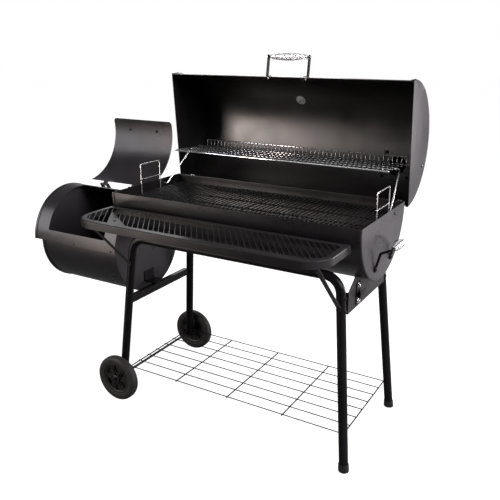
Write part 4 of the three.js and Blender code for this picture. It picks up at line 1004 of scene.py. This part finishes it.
cap = lathe([(0, 0), (FLUE_R + 3.4, 0), (FLUE_R + 4, 0.5), (FLUE_R + 4, 1.5), (FLUE_R + 3.2, 2.0),
             (FLUE_R - 5, 2.0), (FLUE_R - 7, 1.4), (0, 1.4)], 64).at(FLUE_X, FLUE_Y, FLUE_TOP + GAP)
ear = [(FLUE_X - 9, FLUE_Y - 22), *arc(FLUE_X, PIN_Y, 9, 180, 360, 12), (FLUE_X + 9, FLUE_Y - 22)]
cap.join(plate(ear, [circle(FLUE_X, PIN_Y, 3.1, 20)], FLUE_TOP + GAP, FLUE_TOP + GAP + 1.9))
stand_in("chimney_cap", cap, SHELL, drawn=LID_OPEN, bevel=0.3)

inner_line = rounded(FLUE_X - 62, FLUE_X + 62, flue_mid - 16.5, flue_mid + 16.5, 1.2, 3)
inner_plate = plate(inner_line, [flue_line(FLUE_R - 4)], LID_R - SHEET - 2.0, LID_R - SHEET - 0.15,
                    grid=(12, 2.6), wrap=wrapped(BARREL_Z))
piece("chimney_inner_plate", inner_plate, LINER, body="lid", drawn=LID_OPEN, bevel=0.3)
flue_screws = Solid()
for x in (FLUE_X - 50, FLUE_X + 50):
    for angle in (flue_mid - 13, flue_mid + 13):
        nut = hex_nut(5.2, 3.6, washer=7.0)
        fasten(flue_screws, nut, BARREL_Z, LID_R - SHEET - 2.0, x, angle, inside=True)
        fasten(flue_screws, dome_bolt(5.6, 2.8), BARREL_Z, LID_R, x, angle)
piece("chimney_screws", flue_screws, FRAME, body="lid", drawn=LID_OPEN)

# ---------------------------------------------------------------- warming rack, drawn with the lid open
LEG_FOOT = pivot("rack_leg_swing")
LEG_HEAD = pivot("rack_level")
RACK_X = 452.0
RACK_FRONT = Vector((0, 140, 965))
RACK_PIN = Vector((0, 370, 952))
RACK_TOP = Vector((0, 374, 981))
slope = (RACK_PIN - RACK_FRONT).normalized()
lift = Vector((0, -slope.z, slope.y))
cross_wire = [RACK_FRONT + lift * 4.0 - slope * 3.2, RACK_PIN + Vector((0, -3.6, 4.0)),
              RACK_TOP + Vector((0, -3.6, 2.6))]

rack = Solid()
for t, r, reach in ((0, 3.0, 8), (0.25, 2.0, 3), (0.5, 2.0, 3), (0.75, 2.0, 3)):
    at = RACK_FRONT.lerp(RACK_PIN, t)
    rack.join(along_x(-RACK_X - reach, RACK_X + reach, at.y, at.z + 2.6 - r, r, 14, ends=0.7))
rack.join(along_x(-512, 512, *RACK_PIN.yz, 2.5, 16, ends=0.7))
rack.join(along_x(-RACK_X - 3, RACK_X + 3, *RACK_TOP.yz, 2.2, 14, ends=0.7))
for side in (-1, 1):
    eye = [(side * (RACK_X - 0.5), y, z) for y, z in circle(*LEG_HEAD.yz, 4.6, 24)]
    rack.join(sweep(eye, 1.9, 10, ring=True))
stand_in("warming_rack", rack, CHROME, sharp=60)
rack_wires = Solid()
for i in range(51):
    aside = ALONG * (-RACK_X + 2 * RACK_X * i / 50)
    rack_wires.join(rod([p + aside for p in cross_wire], 1.4, 10, bend=5.0, steps=5, ends=0.5))
piece("warming_rack_wires", rack_wires, WIRE, body="rack", sharp=60)

for node, side in (("rack_leg_left", -1), ("rack_leg_right", 1)):
    bends = [(side * x, *LEG_FOOT.yz) for x in (506, 484)] + [(side * x, *LEG_HEAD.yz) for x in (463, 444)]
    stand_in(node, rod(bends, 2.5, 16, bend=4.0, steps=7, ends=0.7), CHROME, sharp=60)

# ---------------------------------------------------------------- firebox
OPEN_LEFT, OPEN_RIGHT, OPEN_BACK, OPEN_FRONT = -882.0, -574.0, 80.0, 164.4
OPEN_CORNER = 6.0
seam_angle = math.degrees(math.asin((fire_lo.z - FIRE_Z) / FIRE_R))


def bent_corner(x, degrees, r, sheet_r, start, steps):
    """Quarter round of r millimetres on sheet bent to sheet_r, in (x, arc degrees)."""
    return [(x + c, degrees + math.degrees(s / sheet_r)) for c, s in arc(0, 0, r, start, start + 90, steps)]


def between(x, start, end, steps):
    """Points at x between two arc degrees, without the two ends."""
    return [(x, start + (end - start) * k / steps) for k in range(1, steps)]


lower = strip(arc(0, FIRE_Z, FIRE_LOW_R, -183, 3, 96), arc(0, FIRE_Z, FIRE_LOW_R - SHEET, -183, 3, 96),
              low_lo.x, low_hi.x)
lined("firebox_shell_lower", lower, FIRE_Z, bevel=0.5)

inset = math.degrees(OPEN_CORNER / FIRE_R)
left, right = OPEN_LEFT + OPEN_CORNER, OPEN_RIGHT - OPEN_CORNER
back, front = OPEN_BACK + inset, OPEN_FRONT - inset
opening = bent_corner(right, front, OPEN_CORNER, FIRE_R, 0, 4)
opening += bent_corner(left, front, OPEN_CORNER, FIRE_R, 90, 4) + between(OPEN_LEFT, front, back, 28)
opening += bent_corner(left, back, OPEN_CORNER, FIRE_R, 180, 4)
opening += bent_corner(right, back, OPEN_CORNER, FIRE_R, 270, 4) + between(OPEN_RIGHT, back, front, 28)
seam_front = 180 - seam_angle
fire_line = stepped(fire_lo.x, fire_hi.x, seam_angle, seam_front, 12, 60)
upper = plate(fire_line, [opening], FIRE_R - SHEET, FIRE_R, wrap=wrapped(FIRE_Z),
              grid=((fire_hi.x - fire_lo.x) / 12, (seam_front - seam_angle) / 60))
lined("firebox_shell_upper", upper, FIRE_Z, bevel=0.5)

right_line = arc(0, FIRE_Z, FIRE_LOW_R + 1, -180, 0, 72) + arc(0, FIRE_Z, FIRE_R, 2.4, 177.6, 72)
plate_x = fire_hi.x + GAP
collar_end = span("firebox_end_right")[1].x
right_end = across_x(plate(right_line, [lens(0)], plate_x, plate_x + SHEET, grid=40))
right_end.join(across_x(plate(lens(4), [lens(0)], plate_x + 1, collar_end, grid=0)))
lined("firebox_end_right", right_end, FIRE_Z, end=1, bevel=0.5)
band = strip(arc(0, FIRE_Z, FIRE_R + 0.9, 2.6, 177.4, 90), arc(0, FIRE_Z, FIRE_R + 0.05, 2.6, 177.4, 90),
             fire_hi.x - 44, fire_hi.x + 2)
piece("firebox_joint_band", band, SHELL, body="base", bevel=0.3)
cap_lo, cap_hi = span("firebox_cap_left")
left_cap = pan_end(FIRE_Z, cap_hi.z - FIRE_Z, cap_lo.x, cap_hi.x, 2.4, 177.6)
lined("firebox_cap_left", left_cap, FIRE_Z, end=-1)

fuel = Solid()
lo, hi = span("firebox_grate")
for x in (-890, -720, -545):
    fuel.join(along_y(x, lo.y, hi.y, 517, 3.5, 14, ends=0.8))
for i in range(13):
    fuel.join(along_x(lo.x, hi.x, -156 + 26 * i, 523.6, 3.4, ends=0.8))
stand_in("firebox_grate", fuel, IRON, sharp=50)

# ---------------------------------------------------------------- firebox door, drawn closed
DOOR_R = FIRE_R + 1.0
DOOR_LEFT, DOOR_RIGHT, DOOR_BACK, DOOR_EDGE = -892.0, -564.0, 73.0, 168.0
DOOR_CORNER = 15.0
DOOR_PIN = pivot("firebox_door_hinge")
DOOR_HANDLE = 154.8             # arc degrees of the handle
ARMS = (-800, -650)             # the handle's feet along X
GRIP_HEIGHT = 48

front = DOOR_EDGE - math.degrees(DOOR_CORNER / DOOR_R)
door_line = [(DOOR_LEFT + (DOOR_RIGHT - DOOR_LEFT) * k / 9, DOOR_BACK) for k in range(10)]
door_line += between(DOOR_RIGHT, DOOR_BACK, front, 32)
door_line += bent_corner(DOOR_RIGHT - DOOR_CORNER, front, DOOR_CORNER, DOOR_R, 0, 8)
door_line += bent_corner(DOOR_LEFT + DOOR_CORNER, front, DOOR_CORNER, DOOR_R, 90, 8)
door_line += between(DOOR_LEFT, front, DOOR_BACK, 32)
door_skin = plate(door_line, [], DOOR_R, DOOR_R + SHEET, wrap=wrapped(FIRE_Z),
                  grid=((DOOR_RIGHT - DOOR_LEFT) / 9, (DOOR_EDGE - DOOR_BACK) / 34))
for x in DOOR_HINGES:
    eye = lathe([(3.1, -10), (5.5, -10), (5.5, 10), (3.1, 10)], 32)
    on_pin = Matrix.Translation((x, *DOOR_PIN.yz)) @ Matrix.Rotation(math.radians(90), 4, "Y")
    door_skin.join(eye.moved(on_pin))
    under = [(y, FIRE_Z + math.sqrt((DOOR_R - 0.1) ** 2 - y * y)) for y in (60, 50)]
    neck = [(70.5, 797.5), (71, 790.5), *under, (50, under[1][1] + 1.8), (62, 794.2)]
    door_skin.join(loft([[(end, y, z) for y, z in neck] for end in (x - 10, x + 10)]))
stand_in("firebox_door", door_skin, SHELL, drawn=DOOR_OPEN, bevel=0.4)

DOOR_SEAT = seat(*on_round(FIRE_Z, DOOR_R + SHEET, 0, DOOR_HANDLE))
left, right = ARMS
bends = [(left, 0, 0.6), (left, 0, GRIP_HEIGHT * 0.55), (left + 22, 0, GRIP_HEIGHT)]
bends += [(right - 22, 0, GRIP_HEIGHT), (right, 0, GRIP_HEIGHT * 0.55), (right, 0, 0.6)]
door_rod = rod(bends, 4.5, 18, bend=8.0, steps=8)
door_nuts, door_rivets = Solid(), Solid()
for x in ARMS:
    door_rod.join(lathe([(0, 0.6), (9, 0.6), (9, 2.2), (7.6, 3.6), (0, 4)], 28).at(x, 0, 0))
    fasten(door_nuts, hex_nut(4.4, 3.2, washer=6.0), FIRE_Z, DOOR_R, x, DOOR_HANDLE, inside=True)
for x in DOOR_HINGES:
    for dx in (-5, 5):
        fasten(door_rivets, dome_bolt(3.2, 1.8), FIRE_Z, DOOR_R + SHEET, x + dx, 76)
stand_in("firebox_handle_rod", door_rod.moved(DOOR_SEAT), FRAME, drawn=DOOR_OPEN, sharp=45)
door_grip = coil(90, 12.0, 6.6, 17, wire=1.6).at((left + right) / 2, 0, GRIP_HEIGHT)
stand_in("firebox_handle_coil", door_grip.moved(DOOR_SEAT), CHROME, drawn=DOOR_OPEN, sharp=60)
piece("firebox_door_nuts", door_nuts, FRAME, body="firebox_lid", drawn=DOOR_OPEN)
piece("firebox_door_rivets", door_rivets, STEEL, body="firebox_lid", drawn=DOOR_OPEN)

# ---------------------------------------------------------------- screws and bolts
bolts = Solid()
for side in (-1, 1):
    for z, end in ((561, 1), (606, 1), (413, -1)):
        at = leg_point(z, side, end) + ALONG * end * (TUBE_R - 0.6)
        bolts.join(dome_bolt(6.0, 3.2).moved(facing(at, ALONG * end)))
for x in (-437, 437):
    at = (x, leg_point(574.5, -1).y - TUBE_R - 1.4, 576.5)
    bolts.join(dome_bolt(5.6, 3.0).moved(facing(at, (0, -1, 0))))
piece("leg_bolts", bolts, FRAME, body="base")

screws = Solid()
for side, angles in ((-1, (-172, -130, -50, -8)), (1, (-172, -130, -90, -50, -8))):
    for angle in angles:
        fasten(screws, dome_bolt(3.4, 1.6), BARREL_Z, END_R, side * (BARREL_X - 4), angle)
    leg_pin = lathe([(0, 0), (5.5, 0), (5.5, 1.2), (4.6, 2.6), (0, 4.2)], 24)
    screws.join(leg_pin.moved(facing((side * end_hi.x, *LEG_FOOT.yz), ALONG * side)))
for x in LID_HINGES:
    for dx in (-14, 14):
        fasten(screws, dome_bolt(3.6, 2.0), BARREL_Z, BARREL_R + GAP + SHEET, x + dx, -16)
piece("barrel_screws", screws, FRAME, body="base")

lid_end_screws = Solid()
pin_closed = (LID_OPEN @ DRAWN).inverted() @ (DRAWN @ (RACK_PIN * MM)) / MM
for side in (-1, 1):
    for angle in (8, 50, 90, 130, 172):
        fasten(lid_end_screws, dome_bolt(3.4, 1.6), BARREL_Z, lend_hi.y, side * (LID_X - 4), angle)
    bushing = lathe([(2.9, 0), (6.5, 0), (6.5, 1.0), (5.6, 1.8), (2.9, 1.8)], 24)
    lid_end_screws.join(bushing.moved(facing((side * lend_hi.x, *pin_closed.yz), ALONG * side)))
piece("lid_end_screws", lid_end_screws, FRAME, body="lid", drawn=LID_OPEN)

fire_screws = Solid()
for x, r in ((fire_lo.x + 25, FIRE_R), (-735, FIRE_R), (fire_hi.x - 20, FIRE_R + 0.9)):
    for angle in (seam_angle + 2.2, 180 - seam_angle - 2.2):
        fasten(fire_screws, dome_bolt(4.2, 2.2), FIRE_Z, r, x, angle)
for x in DOOR_HINGES:
    for dx in (-15, 15):
        fasten(fire_screws, dome_bolt(3.6, 2.0), FIRE_Z, FIRE_R + GAP + SHEET, x + dx, 58)
left_face = span("firebox_end_left")[0].x
fire_screws.join(hex_nut(6.5, 3.6).moved(facing((left_face, *pivot("air_damper_turn").yz), -ALONG)))
piece("firebox_screws", fire_screws, FRAME, body="base")

bright = Solid()
opener_x = span("bottle_opener")[0].x
for z in (622, 566):
    washer = lathe([(0, 2.4), (8.2, 2.4), (8.2, 3.2), (7.6, 3.6), (0, 3.6)], 28)
    bright.join(pan_screw(5.4, 3.0).moved(facing((opener_x + 6.1, -94, z), ALONG)))
    bright.join(washer.moved(facing((opener_x, -94, z), ALONG)))
piece("bottle_opener_screws", bright, CHROME, body="base")

# ---------------------------------------------------------------- floor, light and camera, in metres
floor_mat, floor_tree, floor_shader, _ = nodes_of("pale_floor")
floor_shader.inputs["Base Color"].default_value = (0.30, 0.30, 0.30, 1)
floor_shader.inputs["Roughness"].default_value = 0.85
floor_shader.inputs["Specular IOR Level"].default_value = 0.1
floor_shader.inputs["Emission Color"].default_value = (1, 1, 1, 1)
seen_directly = floor_tree.nodes.new("ShaderNodeLightPath")
lifted = floor_tree.nodes.new("ShaderNodeMath")
lifted.operation = "MULTIPLY"
lifted.inputs[1].default_value = 0.97
floor_tree.links.new(seen_directly.outputs["Is Camera Ray"], lifted.inputs[0])
floor_tree.links.new(lifted.outputs[0], floor_shader.inputs["Emission Strength"])
floor_mesh = bpy.data.meshes.new("floor")
floor_corners = [(x, y, -0.0006) for x, y in ((-30, -30), (30, -30), (30, 30), (-30, 30))]
floor_mesh.from_pydata(floor_corners, [], [[0, 1, 2, 3]])
floor_mesh.materials.append(floor_mat)
floor_obj = bpy.data.objects.new("floor", floor_mesh)
bpy.context.scene.collection.objects.link(floor_obj)

world = bpy.data.worlds.new("studio")
bpy.context.scene.world = world
world.use_nodes = True
wt = world.node_tree


def backdrop(node, colour, strength):
    node.inputs["Color"].default_value = (*colour, 1)
    node.inputs["Strength"].default_value = strength
    return node.outputs["Background"]


room = backdrop(wt.nodes["Background"], (1, 1, 1), 0.06)
seen = backdrop(wt.nodes.new("ShaderNodeBackground"), (1, 1, 1), 1.0)
mirrored = backdrop(wt.nodes.new("ShaderNodeBackground"), (0.9, 0.88, 0.9), 0.20)
path = wt.nodes.new("ShaderNodeLightPath")
glossy = wt.nodes.new("ShaderNodeMixShader")
direct = wt.nodes.new("ShaderNodeMixShader")
link = wt.links.new
link(path.outputs["Is Glossy Ray"], glossy.inputs["Fac"])
link(room, glossy.inputs[1])
link(mirrored, glossy.inputs[2])
link(path.outputs["Is Camera Ray"], direct.inputs["Fac"])
link(glossy.outputs["Shader"], direct.inputs[1])
link(seen, direct.inputs[2])
link(direct.outputs["Shader"], wt.nodes["World Output"].inputs["Surface"])


def area(name, at, aim, size, power, colour=(1, 1, 1)):
    data = bpy.data.lights.new(name, "AREA")
    data.shape = "RECTANGLE"
    data.size, data.size_y = size
    data.energy = power
    data.color = colour
    obj = bpy.data.objects.new(name, data)
    obj.location = Vector(at) + ORIGIN
    obj.rotation_mode = "QUATERNION"
    obj.rotation_quaternion = (Vector(aim) - Vector(at)).to_track_quat("-Z", "Y")
    bpy.context.scene.collection.objects.link(obj)
    return obj


area("key_right", (3.9, -0.3, 3.0), (0.2, 0.0, 1.0), (2.4, 2.2), 290)
area("lid_side", (2.6, 2.6, 1.0), (0.47, 0.45, 1.1), (1.4, 1.4), 125, (1.0, 0.95, 0.97))
area("front_soft", (-0.6, -4.4, 2.2), (0.0, 0.3, 0.9), (3.4, 1.6), 4, (1.0, 0.94, 0.98))
lid_glow = area("lid_glow", (-1.75, -1.95, 1.3), (-0.3, 0.43, 1.1), (0.8, 2.5), 92, (1.0, 0.86, 0.79))
lid_glow.visible_diffuse = False
door_glow = area("door_glow", (-2.9, -1.7, 1.6), (-0.75, 0.2, 0.9), (1.3, 1.8), 66, (0.93, 0.93, 1.0))
door_glow.visible_diffuse = False
area("top_soft", (-0.4, -0.4, 4.4), (0.0, 0.0, 0.6), (3.2, 3.0), 40)
area("back_soft", (-2.6, 3.8, 2.6), (0.0, 0.0, 0.7), (2.6, 2.0), 80)
bpy.context.scene.view_settings.view_transform = "Standard"

camera = bpy.data.objects.new("camera", bpy.data.cameras.new("camera"))
bpy.context.scene.collection.objects.link(camera)
bpy.context.scene.camera = camera
YAW, PITCH = math.radians(30.44), math.radians(16.91)
camera.location = Vector((1.1428, -1.9741, 1.3919)) + ORIGIN
camera.rotation_mode = "QUATERNION"
look = Vector((-math.sin(YAW) * math.cos(PITCH), math.cos(YAW) * math.cos(PITCH), -math.sin(PITCH)))
camera.rotation_quaternion = look.to_track_quat("-Z", "Y")
camera.data.sensor_width = 36.0
camera.data.lens = 45.62
camera.data.shift_y = -0.0283
camera.data.clip_start, camera.data.clip_end = 0.05, 100.0
